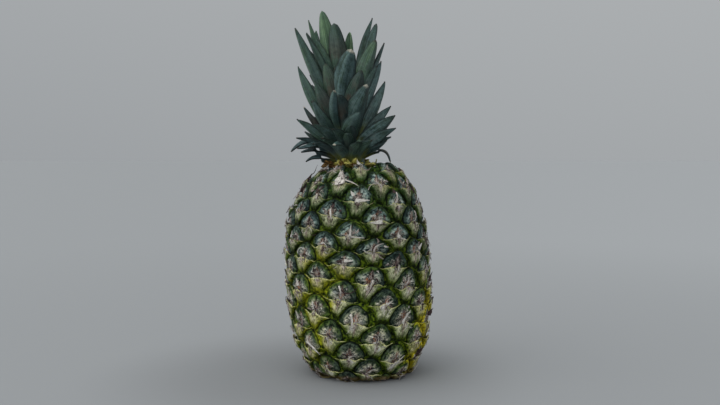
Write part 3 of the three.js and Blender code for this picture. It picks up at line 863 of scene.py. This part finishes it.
def makeBracts():
    sheet = Sheet("bract", gridPattern(bractPlan["columns"], bractPlan["rows"]))
    for cell in fruitlets:
        for vert in sheet.add():
            u = math.copysign(abs(vert.co.x) ** 1.15, vert.co.x)
            degrees, along, out = bractPlace(cell, u, vert.co.y ** 0.9)
            vert.co = rindPoint(degrees, along, out)
            vert[sheet.tone] = (*cell.tone(degrees, along), 1)
    return sheet.finish("bracts", bractFinish(), bractPlan["wall"], "fruit", "rind")


makeBracts()
print("pineapple: bracts made")


# Dry tips on the bracts, and papery flakes over the middles

tipPlan = {
    "columns": 4, "rows": 9, "length": (3.5, 8), "width": (1.0, 2.2), "wall": 0.22, "root": 0.93,
    "twigLength": (2.2, 6), "twigWidth": (0.5, 1.2), "twigs": 6,
    "flakeLength": (1.5, 4.5), "flakeWidth": (0.8, 2.4), "flakes": 4, "maxOut": 3.0, "jag": 0.9,
    "rolledSunk": 2.2,
}

# tips that stand out: fruitlet, root in millimetres right and down of its middle, length, width, heading in
# degrees from upright to the right, turn on the way, lift of the end, the tone, and for some the roll
tipTones = {"white": (1.0, 0.0), "grey": (0.7, 0.42), "pale": (0.65, 0.15), "dark": (0.2, 1.0)}
namedTips = [
    (-17, 0, 1, 8, 3.4, -22, 10, 2, "white"), (-9, 1, 6, 14, 10, -6, 4, 1.2, "grey"),
    (-9, -0.5, 1, 9, 3.6, -8, 4, 2.0, "white"), (-9, 3, 2, 14, 1.0, 112, 15, 1, "pale"),
    (-8, -2, 8, 10, 1.2, 55, -150, 1, "pale"), (0, -3.4, 3.2, 11, 3.0, 88, 8, 1, "white"),
    (0, -4.5, -1, 4, 3, -30, 0, 1, "white"), (9, 3.8, 2.2, 11, 3.4, -92, 0, 1, "white"),
    (18, -1.5, 4, 5, 3.6, -8, 0, 1, "white"), (18, 0, 4, 5, 1.1, 110, 0, 1, "white"),
    (10, 1.5, -5, 10, 1.3, 130, 100, 1, "pale"), (1, 0, -8, 14, 1.3, 170, 55, 1, "pale"),
    (1, -2, -7, 4, 4, 0, 0, 0.5, "dark"), (16, 0.6, 0.5, 5, 2.8, 20, 0, 1.5, "dark"),
    (7, 3, 0, 5.5, 2.8, 40, 0, 1.5, "dark"), (-2, -1, -1, 9, 3.4, 10, 0, 3, "dark"),
    (-11, 0, -3, 8, 2.6, 5, 0, 6, "dark"), (33, -6, 1, 10, 0.8, -8, 70, 1, "white"),
    (34, 0.5, 0, 8, 3, 88, 0, 1, "white"), (34, -1, 0.5, 5, 3, -85, 0, 0.5, "dark"),
    (26, 0, 3, 11, 1.2, 5, 45, 1, "pale"), (26, -1.2, 2, 10, 1.0, 8, 40, 0.5, "dark"),
    (27, 0, 1, 6.5, 3, 45, 0, 1, "white"), (27, 0, 3, 8, 1.2, 195, 0, 1, "pale"),
    (35, 0, 3, 8, 1.3, 205, 0, 1, "pale"), (35, 0.5, -7, 8, 1.0, 178, 0, 0.5, "dark"),
    (42, 0, 0, 5, 3, 10, 0, 1.5, "dark"), (43, 0.5, 1, 8, 2.4, 200, 0, 1, "pale"),
    (43, 3, 2.5, 16, 1.1, 216, 0, 1, "dark"), (43, 0.5, -7, 8, 1.2, 180, 0, 0.5, "dark"),
    (44, 1, -4, 10, 1.2, 175, 75, 1, "pale"), (51, -2, -7, 7, 2.0, 165, 0, 1, "white"),
    (51, 0, -4, 14, 1.2, 150, -75, 1, "dark"), (52, -4, 2.6, 10, 3.2, 62, 0, 1.5, "white"),
    (59, -2, -5, 7, 1.8, 165, 0, 1, "white"), (59, -0.8, -3, 6, 1.2, 170, -20, 1, "dark"),
    (60, -1, -6, 16, 2.0, 150, 45, 1.5, "white"), (61, -3.5, 5, 12, 2.0, 38, 0, 1.5, "white"),
    (67, 0, -1, 7, 4, -15, 0, 1, "pale"), (67, 2, -1, 3, 2.5, 100, 0, 1, "dark"),
    (68, 0.5, -2.5, 8, 1.5, 140, 0, 1, "dark"), (68, 0, 1, 6, 1.6, 165, 0, 1, "white"),
    (69, -4, 3, 8, 1.4, 110, -100, 1, "white"), (69, 0, -2, 6, 1.2, 200, 0, 0.5, "dark"),
    (70, -2, 0, 7, 1.4, 80, 20, 1, "dark"), (76, 1, -2, 16, 3, 128, 0, 1, "white"),
    (77, 0, 0, 6, 1.6, 170, 0, 1, "pale"), (77, 0, 0, 5, 1.4, 60, 0, 1, "pale"),
    (77, -1, -1, 5, 1.2, -60, 0, 1, "dark"), (78, -3, 7, 16, 1.7, 36, 0, 1.5, "white"),
    (78, -6, 7, 10, 1.5, 45, 0, 1, "white"), (50, 2, -1, 7, 4, -10, 0, 1, "pale"),
    (50, 3, 1, 6, 1.2, 120, 0, 1, "dark"), (24, -4, 1, 7, 1.1, -8, 30, 1, "white"),
    (41, -2, 1, 6, 3, 5, 0, 1.5, "white"), (25, -1, 1, 7, 1.8, 20, 110, 1, "white"),
    (8, 0, -3, 9, 1.7, 172, 0, 1, "white"), (8, 1, -4, 4, 3, 40, 0, 0.5, "dark"),
    (-1, 1, 1, 6, 2.4, 12, 0, 1.5, "dark"), (-1, 2, 3, 6, 1.6, 170, 0, 1, "pale"),
    (17, 0, 1, 8, 2.2, 4, 0, 1, "white"), (17, 1, 1.5, 10, 1.0, 97, 0, 1, "white"),
    (86, 0, 0, 6, 2, 20, 30, 1, "pale"), (-11, -1.4, 3.5, 7, 3.6, -8, 0, 3.5, "dark", 80),
    (-2, -1.7, -1.5, 11, 3.8, 8, 0, 2, "dark", 60), (6, -2, -8, 5, 1.6, 10, 0, 1.5, "dark", 80),
    (15, -6, 9, 3.5, 1.2, -60, 40, 2.5, "dark", 40), (41, 1.5, 3, 8, 2.2, 0, 0, 1.2, "white", 50),
    (49, -2, -3, 6, 2.4, 10, 20, 2, "dark", 80), (58, 3, -2, 6, 2.4, -10, 0, 2, "pale", 70),
    (58, -2, 4, 6, 2, 20, 0, 2.5, "dark", 80), (75, 4, -2, 7, 2.2, 0, 0, 2, "pale", 70),
    (75, 0, 12, 8, 2.4, 0, 10, 1.5, "dark", 80), (92, 5, -3, 6, 2.2, 0, 0, 1.5, "dark", 80),
    (-15, -4, 4, 6, 3, 30, 0, 1.5, "dark", 60), (-15, 0, 3, 4, 2.6, 10, 0, 2, "dark", 80),
    (2, -2.3, -7, 6, 2.4, 0, 0, 1.5, "dark", 70), (11, -3, -4, 5, 2, 0, 0, 1.5, "dark", 80),
    (28, -2, -8, 6, 1.4, 30, 140, 3.5, "pale", 80), (28, -6, 5, 5, 2, 0, 0, 2, "dark", 80),
    (45, 2, 0, 8, 2.2, 10, 0, 3.5, "dark", 80), (45, 1, 4, 6, 1.6, 60, 0, 3, "pale", 70),
    (62, 2, -2, 7, 4.4, 0, 0, 5, "dark", 80), (79, -4, -2, 8, 4.4, 0, 0, 5, "dark", 80),
    (79, 0, 6, 5, 2, 20, 0, 2, "pale", 70),
]


def addStrip(sheet, cell, root, size, heading, curl, tones, wave, jagged=1, roll=0):
    # a thin curled strip over the rind: from a root place, heading in degrees from upright to the right,
    # rolled about its own length
    length, width = size
    flat, steep = math.cos(math.radians(roll)), math.sin(math.radians(roll))
    heading = math.radians(heading)
    degrees, along, out = root
    for vert in sheet.add():
        u, v = vert.co.x, vert.co.y
        jag = noise.noise(Vector((u * 1.4, v * 6, 2)) + cell.seed * 1.3 + Vector((length, 0, width)))
        swell = 0.75 + 0.6 * v * (1 - v) + tipPlan["jag"] * jagged * jag * min(1, 4 * v)
        half = width / 2 * (1 - v ** 1.7) * swell + 0.06
        bend = heading + math.radians(curl[0]) * v
        forward = length * v
        side = half * u * flat
        x = forward * math.sin(bend) + side * math.cos(bend)
        y = -forward * math.cos(bend) + side * math.sin(bend)
        rise = curl[1] * v * v + 0.35 * abs(u) * (1 - v)
        rise += wave * noise.noise(Vector((u, v * 2.5, 7)) + cell.seed * 1.7)
        highest = max(tipPlan["maxOut"], out + 0.3, curl[1] * v)
        lifted = min(out + rise + 0.25, highest) + half * (u + 0.3) * steep
        vert.co = rindPoint(degrees + x / cell.perDegree, along + y, lifted)
        vert[sheet.tone] = tones


def finishStrips(sheet, name):
    return sheet.finish(name, dryPaper, tipPlan["wall"], "fruit", "rind")


def makeTips():
    sheet = Sheet("strip", gridPattern(tipPlan["columns"], tipPlan["rows"]))
    cells = {cell.index: cell for cell in fruitlets}
    named = {row[0] for row in namedTips}
    for cell in fruitlets:
        if cell.index in named:
            continue
        draw = cell.random
        root = bractPlace(cell, 0.12 * cell.twist, tipPlan["root"])
        size = draw.uniform(*tipPlan["length"]), draw.uniform(*tipPlan["width"])
        tones = (draw.random(), draw.uniform(0, 0.75), draw.random(), 1)
        curl = (draw.gauss(0, 35), draw.uniform(0.2, 2.4))
        heading = draw.gauss(0, 42)
        addStrip(sheet, cell, root, size, heading, curl, tones, 0.8, roll=draw.gauss(0, 25))
    for index, right, down, length, width, heading, turn, lift, tone, *roll in namedTips:
        cell = cells[index]
        degrees, along = cell.degrees + right / cell.perDegree, cell.along + down
        height = domeHeight(cell, *cell.offset(degrees, along), 0.3)
        out = max(height + 0.8, 0.9) - (tipPlan["rolledSunk"] if roll else 0)
        tones = (*tipTones[tone], cell.random.random(), 1)
        root = degrees, along, out
        addStrip(sheet, cell, root, (length, width), heading, (turn, lift), tones, 0.3, 0.35, *roll)
    return finishStrips(sheet, "bractTips")


def makeTwigs():
    # thinner dry points beside each main tip
    sheet = Sheet("strip", gridPattern(2, 5))
    for cell in fruitlets:
        draw = random.Random(4000 + cell.index)
        for _ in range(tipPlan["twigs"]):
            root = bractPlace(cell, 0.12 * cell.twist + draw.gauss(0, 0.13), draw.uniform(0.78, 0.99))
            size = draw.uniform(*tipPlan["twigLength"]), draw.uniform(*tipPlan["twigWidth"])
            tones = (draw.uniform(0.1, 1), draw.uniform(0, 0.9), draw.random(), 1)
            curl = (draw.gauss(0, 70), draw.uniform(0, 0.9))
            upwards = draw.random() < 0.6
            heading = draw.gauss(0, 45) if upwards else draw.choice((-1, 1)) * draw.uniform(95, 170)
            addStrip(sheet, cell, root, size, heading, curl, tones, 0.6, roll=draw.gauss(0, 35))
    return finishStrips(sheet, "dryTwigs")


def makeFlakes():
    sheet = Sheet("strip", gridPattern(3, 5))
    for cell in fruitlets:
        draw = random.Random(9000 + cell.index)
        for _ in range(tipPlan["flakes"] + draw.randint(-1, 1)):
            x, y = draw.gauss(0, 0.2), draw.gauss(-0.04, 0.13)
            degrees = cell.degrees + x * cell.halfWide / cell.perDegree
            along = cell.along + y * cell.halfTall
            out = domeHeight(cell, x, y, math.hypot(x, y)) + 0.35
            heading = math.degrees(math.atan2(x, -y)) + draw.gauss(0, 45)
            size = draw.uniform(*tipPlan["flakeLength"]), draw.uniform(*tipPlan["flakeWidth"])
            tones = (draw.random(), draw.uniform(0.05, 0.95), draw.random(), 1)
            curl = (draw.gauss(0, 50), draw.uniform(-0.2, 1.6))
            addStrip(sheet, cell, (degrees, along, out), size, heading, curl, tones, 0.9)
    return finishStrips(sheet, "dryFlakes")


dryPaper = tipFinish()
makeTips()
makeTwigs()
makeFlakes()
print("pineapple: dry tips and flakes made")


# The cut base

def makeBase():
    plan = basePlan
    bm = bmesh.new()
    bmesh.ops.create_circle(bm, cap_ends=True, segments=plan["sides"], radius=plan["radius"] * mm)
    for _ in range(plan["rings"]):
        face = max(bm.faces, key=lambda f: len(f.verts))
        bmesh.ops.inset_region(bm, faces=[face], thickness=plan["radius"] * mm * 0.1, depth=0)
    for vert in bm.verts:
        reach = vert.co.xy.length / mm
        ring = math.exp(-(((reach - plan["stalk"]) / plan["ringWidth"]) ** 2))
        rough = plan["rough"] * noise.noise(vert.co / mm * 0.35)
        vert.co.z = (plan["low"] + plan["sunk"] * ring + abs(rough)) * mm
    bmesh.ops.solidify(bm, geom=bm.faces[:], thickness=plan["wall"] * mm)
    return finishPiece(bm, "cutBase", cutFinish(), "fruit", "rind")


makeBase()


# The crown

crownPlan = {
    "seat": rindPlan["seat"], "across": -10.5, "lean": 0.078, "stemRadius": 17, "stemTop": 5,
    "stemHeight": 70, "rootShare": 0.55, "bowOut": 0.35,
    "channel": 0.72, "fold": 1.35, "wall": 1.0, "taper": 0.44, "point": 0.8, "columns": 8, "rows": 22,
    "wave": 0.5,
    "collar": 44, "collarReach": (18, 25), "collarWidth": (4, 9), "collarRise": (-1, 7), "collarWall": 0.9,
    "fill": 32, "goldenShare": 0.381966, "spread": 236, "fillRoots": (182, 240), "fillRises": (16, 80),
    "sideReach": 29, "backReach": 46, "notchAcross": -5, "notchTop": 266, "backTop": 296,
}

# Leaves that show in front and at the sides: facing, tip across, up and forward, root height, width, bow,
# freshness, dryness of the tip and brownness
shownLeaves = [
    (-22, -34.0, 308.8, 0, 204, 17, 0.01, 1.0, 0.2, 0.0),
    (8, -24.0, 296.5, 13, 206, 17, 0.03, 0.28, 0.3, 0.75),
    (20, -18.6, 291.0, -4, 212, 12, 0.02, 0.1, 0.4, 0.2),
    (150, -11.4, 292.5, -8, 226, 11, 0.02, 1.0, 0.1, 0.0),
    (-18, -8.4, 273.0, 28, 204, 20, 0.06, 0.15, 0.8, 0.0),
    (-56, -45.6, 302.5, -9, 202, 12, 0.0, 0.75, 0.3, 0.0),
    (-52, -42.0, 293.0, -6, 204, 15, 0.02, 0.6, 0.2, 0.1),
    (-46, -57.6, 294.0, 0, 200, 12.5, 0.02, 0.4, 0.4, 0.1),
    (-50, -55.0, 261.5, 4, 192, 15, -0.02, 0.5, 0.4, 0.1),
    (52, 7.4, 303.5, -3, 210, 12, 0.03, 0.3, 0.5, 0.1),
    (40, 12.4, 297.5, 4, 208, 13, 0.03, 0.25, 0.4, 0.1),
    (26, 10.8, 283.0, 12, 206, 17, 0.02, 0.55, 0.5, 0.2),
    (96, 19.4, 282.5, -6, 206, 12, 0.05, 0.1, 0.7, 0.0),
    (48, 17.8, 265.5, 3, 198, 16, 0.03, 0.1, 0.6, 0.0),
    (60, 20.8, 248.5, 0, 195, 16, 0.03, 0.15, 0.6, 0.1),
    (34, 12.0, 262.0, 10, 198, 15, 0.04, 0.15, 0.6, 0.4),
    (24, 4.2, 243.0, 30, 190, 20, 0.09, 0.15, 0.82, 0.1),
    (-30, -21.5, 239.5, 42, 196, 8, 0.05, 0.3, 1.0, 0.0),
    (112, 17.4, 233.5, -14, 194, 8, 0.05, 0.6, 0.9, 0.0),
    (50, 24.2, 228.0, 8, 189, 14, 0.05, 0.1, 0.6, 0.1),
    (24, 27.6, 219.2, 20, 188, 16, 0.05, 0.1, 0.6, 0.0),
    (28, 28.0, 209.2, 20, 183, 14, 0.08, 0.1, 0.6, 0.1),
    (56, 24.0, 202.4, 12, 184, 10, 0.07, 0.1, 0.6, 0.0),
    (100, 18.8, 199.0, -12, 186, 9, 0.06, 0.1, 0.6, 0.0),
    (56, 21.0, 196.0, 16, 183, 9, 0.1, 0.0, 0.5, 0.1),
    (88, 22.5, 180.0, 0, 182, 3.6, 0.34, 0.0, 0.9, 1.0),
    (-60, -50.0, 227.5, 6, 190, 10, -0.02, 0.1, 1.0, 1.0),
    (-52, -55.0, 217.8, 8, 188, 13, 0.02, 0.4, 0.5, 0.0),
    (-92, -50.0, 206.5, -6, 188, 12, 0.04, 0.3, 0.5, 0.5),
    (-56, -56.0, 201.5, 8, 186, 10, 0.09, 0.1, 0.6, 0.1),
    (-80, -61.0, 189.8, 0, 186, 11, 0.21, 0.05, 0.5, 0.0),
    (-60, -52.6, 188.0, 12, 184, 10, 0.22, 0.05, 0.7, 0.0),
    (-96, -52.0, 187.2, -6, 182, 9, 0.14, 0.0, 0.5, 0.0),
    (-76, -48.0, 181.8, 4, 181, 8, 0.06, 0.0, 0.7, 0.0),
    (12, -2.2, 221.5, 35, 184, 16, 0.13, 0.3, 0.3, 0.0),
    (-20, -24.4, 209.5, 37, 183, 12, 0.12, 0.3, 0.5, 0.0),
    (-40, -40.5, 212.0, 28, 186, 14, 0.1, 0.3, 0.4, 0.1),
    (36, 8.0, 198.5, 34, 181, 16, 0.13, 0.35, 0.5, 0.3),
    (-4, -12.0, 205.0, 40, 181, 10, 0.15, 0.4, 0.2, 0.2),
    (-34, -33.0, 199.0, 34, 182, 11, 0.16, 0.3, 0.5, 0.0),
    (14, -0.5, 256.0, 24, 194, 18, 0.06, 0.15, 0.4, 1.0),
    (-34, -40.4, 248.0, 14, 190, 18, 0.02, 0.25, 0.4, 0.8),
    (-36, -43.0, 229.5, 22, 186, 15, 0.05, 0.2, 0.5, 0.3),
    (-10, -19.5, 237.0, 29, 190, 17, 0.09, 0.05, 0.3, 0.9),
    (-30, -31.0, 263.0, 14, 198, 17, 0.02, 0.4, 0.4, 0.9),
    (2, -10.0, 212.0, 37, 183, 11, 0.13, 0.2, 0.2, 0.4),
    (14, -2.0, 196.0, 38, 180, 12, 0.16, 0.35, 0.3, 0.3),
    (-18, -23.0, 193.0, 38, 180, 11, 0.18, 0.4, 1.0, 0.2),
    (-48, -41.0, 197.0, 26, 182, 10, 0.12, 0.1, 0.6, 0.2),
    (70, 13.6, 253.5, 2, 205, 5, 0.03, 0.2, 1.0, 0.4),
    (84, 17.6, 232.5, 0, 198, 2.6, 0.08, 0.3, 1.0, 0.3),
]

# how pointed a tip is, for those that aren't plain points: smaller is blunter
bluntTips = {
    0: 0.5, 1: 0.42, 3: 0.5, 4: 0.45, 6: 0.6, 10: 0.5, 11: 0.55, 16: 0.6, 17: 0.45, 34: 0.55, 40: 0.6,
    43: 0.5, 44: 0.5,
}

# sideways bend of some leaves, millimetres to the right at the middle of the path
sideBends = {
    0: -1, 4: -11, 6: -5, 11: -4, 13: -3, 15: -6, 16: -8, 17: -11, 25: 10, 34: -8, 35: 4, 36: 5,
    37: -5, 40: -6,
}


def stemCentre(height):
    return Vector((crownPlan["across"] - crownPlan["lean"] * (height - crownPlan["seat"]), 0, height))


def leafOutline(t, point):
    taper = math.sin(math.pi / 2 * min(1, (1 - t) / crownPlan["taper"]))
    return min(1, 0.85 + 0.5 * t) * max(0, taper) ** point


class LeafPath:
    # a bent path from the stem to the tip, with the leaf's across and under directions
    def __init__(self, facing, tip, root, bow, bend):
        angle = math.radians(facing)
        self.outward = Vector((math.sin(angle), -math.cos(angle), 0))
        self.across = Vector((math.cos(angle), math.sin(angle), 0))
        risen = min(max((root - crownPlan["seat"]) / crownPlan["stemHeight"], 0), 1)
        radius = crownPlan["stemRadius"] + (crownPlan["stemTop"] - crownPlan["stemRadius"]) * risen
        self.start = stemCentre(root) + self.outward * radius * crownPlan["rootShare"]
        chord = tip - self.start
        rise = Vector((0, 0, 1)) - self.outward * crownPlan["bowOut"]
        rise -= chord * (rise.dot(chord) / chord.length_squared)
        bowed = rise.normalized() * 2 * bow * chord.length
        self.middle = self.start.lerp(tip, 0.5) + bowed + Vector((bend, 0, 0))
        self.tip = tip

    def at(self, t):
        centre = self.start * (1 - t) ** 2 + self.middle * 2 * t * (1 - t) + self.tip * t * t
        ahead = ((self.middle - self.start) * (1 - t) + (self.tip - self.middle) * t).normalized()
        side = (self.across - ahead * self.across.dot(ahead)).normalized()
        under = side.cross(ahead).normalized()
        if under.dot(self.outward) < 0:
            under = -under
        return centre, side, under


def addLeaf(sheet, facing, tip, root, width, bow, tones, draw, point=crownPlan["point"], bend=0):
    path = LeafPath(facing, tip, root, bow, bend)
    seed = Vector((draw.uniform(0, 90), draw.uniform(0, 90), 0))
    hook = draw.gauss(0, 1.6)
    for vert in sheet.add():
        u, t = vert.co.x, vert.co.y
        t = 1 - (1 - t) ** 1.25
        centre, side, under = path.at(t)
        half = width / 2 * leafOutline(t, point) + 0.12
        drop = crownPlan["channel"] * half * (1 - abs(u) ** crownPlan["fold"])
        drop += crownPlan["wave"] * u * noise.noise(Vector((u * 0.6, t * 5, 0)) + seed) * t
        drop += hook * max(0, t - 0.72) ** 2 * 12
        vert.co = (centre + side * half * u + under * drop) * mm
        vert[sheet.tone] = tones


def leafSheet():
    return Sheet("leaf", gridPattern(crownPlan["columns"], crownPlan["rows"]))


def makeShownLeaves(material):
    sheet = leafSheet()
    for index, (facing, across, up, front, root, width, bow, *tones) in enumerate(shownLeaves):
        draw = random.Random(40 + index)
        tip = Vector((across, -front, up))
        point = bluntTips.get(index, crownPlan["point"])
        bend = sideBends.get(index, 0)
        addLeaf(sheet, facing, tip, root, width, bow, (*tones, 1), draw, point, bend)
    return sheet.finish("frontLeaves", material, crownPlan["wall"], "crown", "leaf")


def makeFillLeaves(material):
    plan = crownPlan
    sheet = leafSheet()
    draws = drawsFrom(977)
    for k in range(plan["fill"]):
        share = k / (plan["fill"] - 1)
        facing = 180 + plan["spread"] * ((plan["goldenShare"] * k + 0.3) % 1 - 0.5)
        angle = math.radians(facing)
        front = max(0, math.cos(angle))
        root = plan["fillRoots"][0] + (plan["fillRoots"][1] - plan["fillRoots"][0]) * share
        rise = plan["fillRises"][0] + (plan["fillRises"][1] - plan["fillRises"][0]) * share ** 0.75
        rise = math.radians(rise + 3 * next(draws))
        full = 36 + 34 * math.sin(math.pi * share ** 0.85) + 18 * share
        length = full * (1 - 0.22 * front) * (1 + 0.08 * next(draws))
        back = max(0, -math.cos(angle)) ** 2
        limit = plan["sideReach"] + (plan["backReach"] - plan["sideReach"]) * back
        tip = stemCentre(root + length * math.sin(rise))
        tip += Vector((math.sin(angle), -math.cos(angle), 0)) * min(limit, length * math.cos(rise) + 8)
        beside = smoothStep(abs(tip.x - plan["notchAcross"]), 6, 18)
        tip.z = min(tip.z, plan["notchTop"] + (plan["backTop"] - plan["notchTop"]) * beside)
        draw = random.Random(700 + k)
        tones = (0.15 + 0.5 * share * draw.random(), draw.random(), 0.6 * draw.random() ** 2, 1)
        addLeaf(sheet, facing, tip, root, 14 + 2.5 * next(draws), 0.15 - 0.13 * share, tones, draw)
    return sheet.finish("backLeaves", material, plan["wall"], "crown", "leaf")


def makeCollar():
    plan = crownPlan
    sheet = Sheet("leaf", gridPattern(6, 8))
    for k in range(plan["collar"]):
        draw = random.Random(310 + k)
        facing = 360 * k / plan["collar"] + draw.gauss(0, 4)
        angle = math.radians(facing)
        tip = stemCentre(plan["seat"])
        tip += Vector((math.sin(angle), -math.cos(angle), 0)) * draw.uniform(*plan["collarReach"])
        tip.z += draw.uniform(*plan["collarRise"])
        left = max(0, -math.sin(angle)) ** 2
        tones = (0.5, min(1, 0.45 * draw.random() + 0.75 * left), draw.random(), 1)
        width = draw.uniform(*plan["collarWidth"])
        addLeaf(sheet, facing, tip, plan["seat"] - 1, width, 0.08, tones, draw, 0.45)
    return sheet.finish("collarBracts", collarFinish(), plan["collarWall"], "crown", "leaf")


def makeStem(material):
    # the short stem inside the crown that the leaves clasp
    plan = crownPlan
    sheet = Sheet("leaf")
    bm = sheet.bm
    bmesh.ops.create_cone(bm, cap_ends=True, segments=28, radius1=plan["stemRadius"] * 0.8 * mm,
                          radius2=plan["stemTop"] * 0.5 * mm, depth=plan["stemHeight"] * 0.9 * mm)
    sides = [edge for edge in bm.edges if abs(edge.verts[0].co.z - edge.verts[1].co.z) > mm]
    bmesh.ops.subdivide_edges(bm, edges=sides, cuts=10, use_grid_fill=True)
    low = min(vert.co.z for vert in bm.verts)
    for vert in bm.verts:
        height = (vert.co.z - low) / mm
        centre = stemCentre(plan["seat"] + 0.5 + height)
        vert.co = Vector((vert.co.x, vert.co.y, 0)) + centre * mm
        vert[sheet.tone] = (0.1, 0.2, 0.5, 1)
    for face in bm.faces:
        for loop in face.loops:
            loop[sheet.uv].uv = (0.5, 0.3)
    return finishPiece(bm, "crownStem", material, "crown", "leaf")


crownLeaf = leafFinish()
makeShownLeaves(crownLeaf)
makeFillLeaves(crownLeaf)
makeCollar()
makeStem(crownLeaf)
print("pineapple: crown made")


# Floor and light

stagePlan = {
    "radius": 60, "sides": 96, "roughness": 0.9, "pale": (0.318, 0.332, 0.344),
    # near: a broad painted shade on the floor round the fruit; right: painted light, the far floor lighter to
    # the right
    "near": 0.945, "right": 1.10, "from": 0.16, "to": 1.3,
    # under and its reach: a painted contact shadow on the floor round the fruit's foot, centred a little to
    # the front left
    "under": 0.78, "shadowFrom": 0.05, "shadowTo": 0.2, "shadowAt": (-0.052, -0.022),
}
lightPlan = [
    # name, degrees from the front towards the right, degrees up, strength, softness in degrees, colour
    ("keyLight", -58, 46, 0.62, 60, (1.0, 0.99, 0.97)),
    ("wideLight", -60, 38, 1.54, 150, (1.0, 0.99, 0.97)),
    ("fillLight", -6, 28, 0.32, 100, (0.95, 0.97, 1.0)),
    ("topLight", 0, 82, 0.35, 90, (1.0, 1.0, 1.0)),
]
worldPlan = {
    "low": (0.335, 0.352, 0.367), "high": (0.412, 0.430, 0.441), "strength": 1.0,
    "slope": 0.6, "level": 0.25, "top": 0.75, "topRise": 0.186,
}


def makeStage():
    bm = bmesh.new()
    bmesh.ops.create_circle(bm, cap_ends=True, segments=stagePlan["sides"], radius=stagePlan["radius"])
    mesh = bpy.data.meshes.new("floor")
    bm.to_mesh(mesh)
    bm.free()
    floor = bpy.data.objects.new("floor", mesh)
    bpy.context.scene.collection.objects.link(floor)
    finish = Finish("paleFloor", Specular_IOR_Level=0.1)
    x, y, _ = finish.parts(finish.place())
    reach = (x * x + y * y) ** 0.5
    # painted shade: the floor darker near the fruit; painted light: the far floor lighter to the right
    near = [value * stagePlan["near"] for value in stagePlan["pale"]]
    under = [value * stagePlan["under"] for value in near]
    right = [value * stagePlan["right"] for value in stagePlan["pale"]]
    far = finish.mix(finish.between(x / (reach + 0.3), -0.3, 0.5), stagePlan["pale"], right)
    colour = finish.mix(finish.between(reach, stagePlan["from"], stagePlan["to"]), near, far)
    # painted contact shadow: the floor darker close to the fruit's foot
    east, north = stagePlan["shadowAt"]
    x, y = x - east, y - north
    close = (x * x + y * y) ** 0.5
    colour = finish.mix(finish.between(close, stagePlan["shadowFrom"], stagePlan["shadowTo"]), under, colour)
    mesh.materials.append(finish.show(colour, stagePlan["roughness"]))


def addLights():
    for name, facing, up, strength, softness, colour in lightPlan:
        data = bpy.data.lights.new(name, "SUN")
        data.angle = math.radians(softness)
        data.energy = strength
        data.color = colour
        lamp = bpy.data.objects.new(name, data)
        lamp.rotation_euler = Euler((math.radians(90 - up), 0, math.radians(facing)), "XYZ")
        lamp.location = (math.sin(math.radians(facing)), -math.cos(math.radians(facing)), 1)
        bpy.context.scene.collection.objects.link(lamp)


def lightWorld():
    # an even studio wall, a little lighter upwards and to the right
    world = bpy.data.worlds.new("studio")
    world.use_nodes = True
    nodes, links = world.node_tree.nodes, world.node_tree.links
    backdrop = nodes["Background"]
    backdrop.inputs["Strength"].default_value = worldPlan["strength"]
    heading, split = nodes.new("ShaderNodeTexCoord"), nodes.new("ShaderNodeSeparateXYZ")
    blend = nodes.new("ShaderNodeMix")
    blend.data_type = "RGBA"
    ends = {6: worldPlan["low"], 7: worldPlan["high"]}
    for place, colour in ends.items():
        blend.inputs[place].default_value = (*colour, 1)
    rise = nodes.new("ShaderNodeMapRange")
    rise.inputs["From Max"].default_value = worldPlan["topRise"]
    rise.inputs["To Min"].default_value = worldPlan["level"]
    rise.inputs["To Max"].default_value = worldPlan["top"]
    across = nodes.new("ShaderNodeMath")
    across.operation = "MULTIPLY_ADD"
    across.inputs[1].default_value = worldPlan["slope"]
    links.new(heading.outputs["Generated"], split.inputs[0])
    links.new(split.outputs["Z"], rise.inputs["Value"])
    links.new(split.outputs["X"], across.inputs[0])
    links.new(rise.outputs[0], across.inputs[2])
    links.new(across.outputs[0], blend.inputs[0])
    links.new(blend.outputs[2], backdrop.inputs["Color"])
    bpy.context.scene.world = world
    bpy.context.scene.view_settings.view_transform = "Standard"


makeStage()
addLights()
lightWorld()
print("pineapple: floor and lights set")
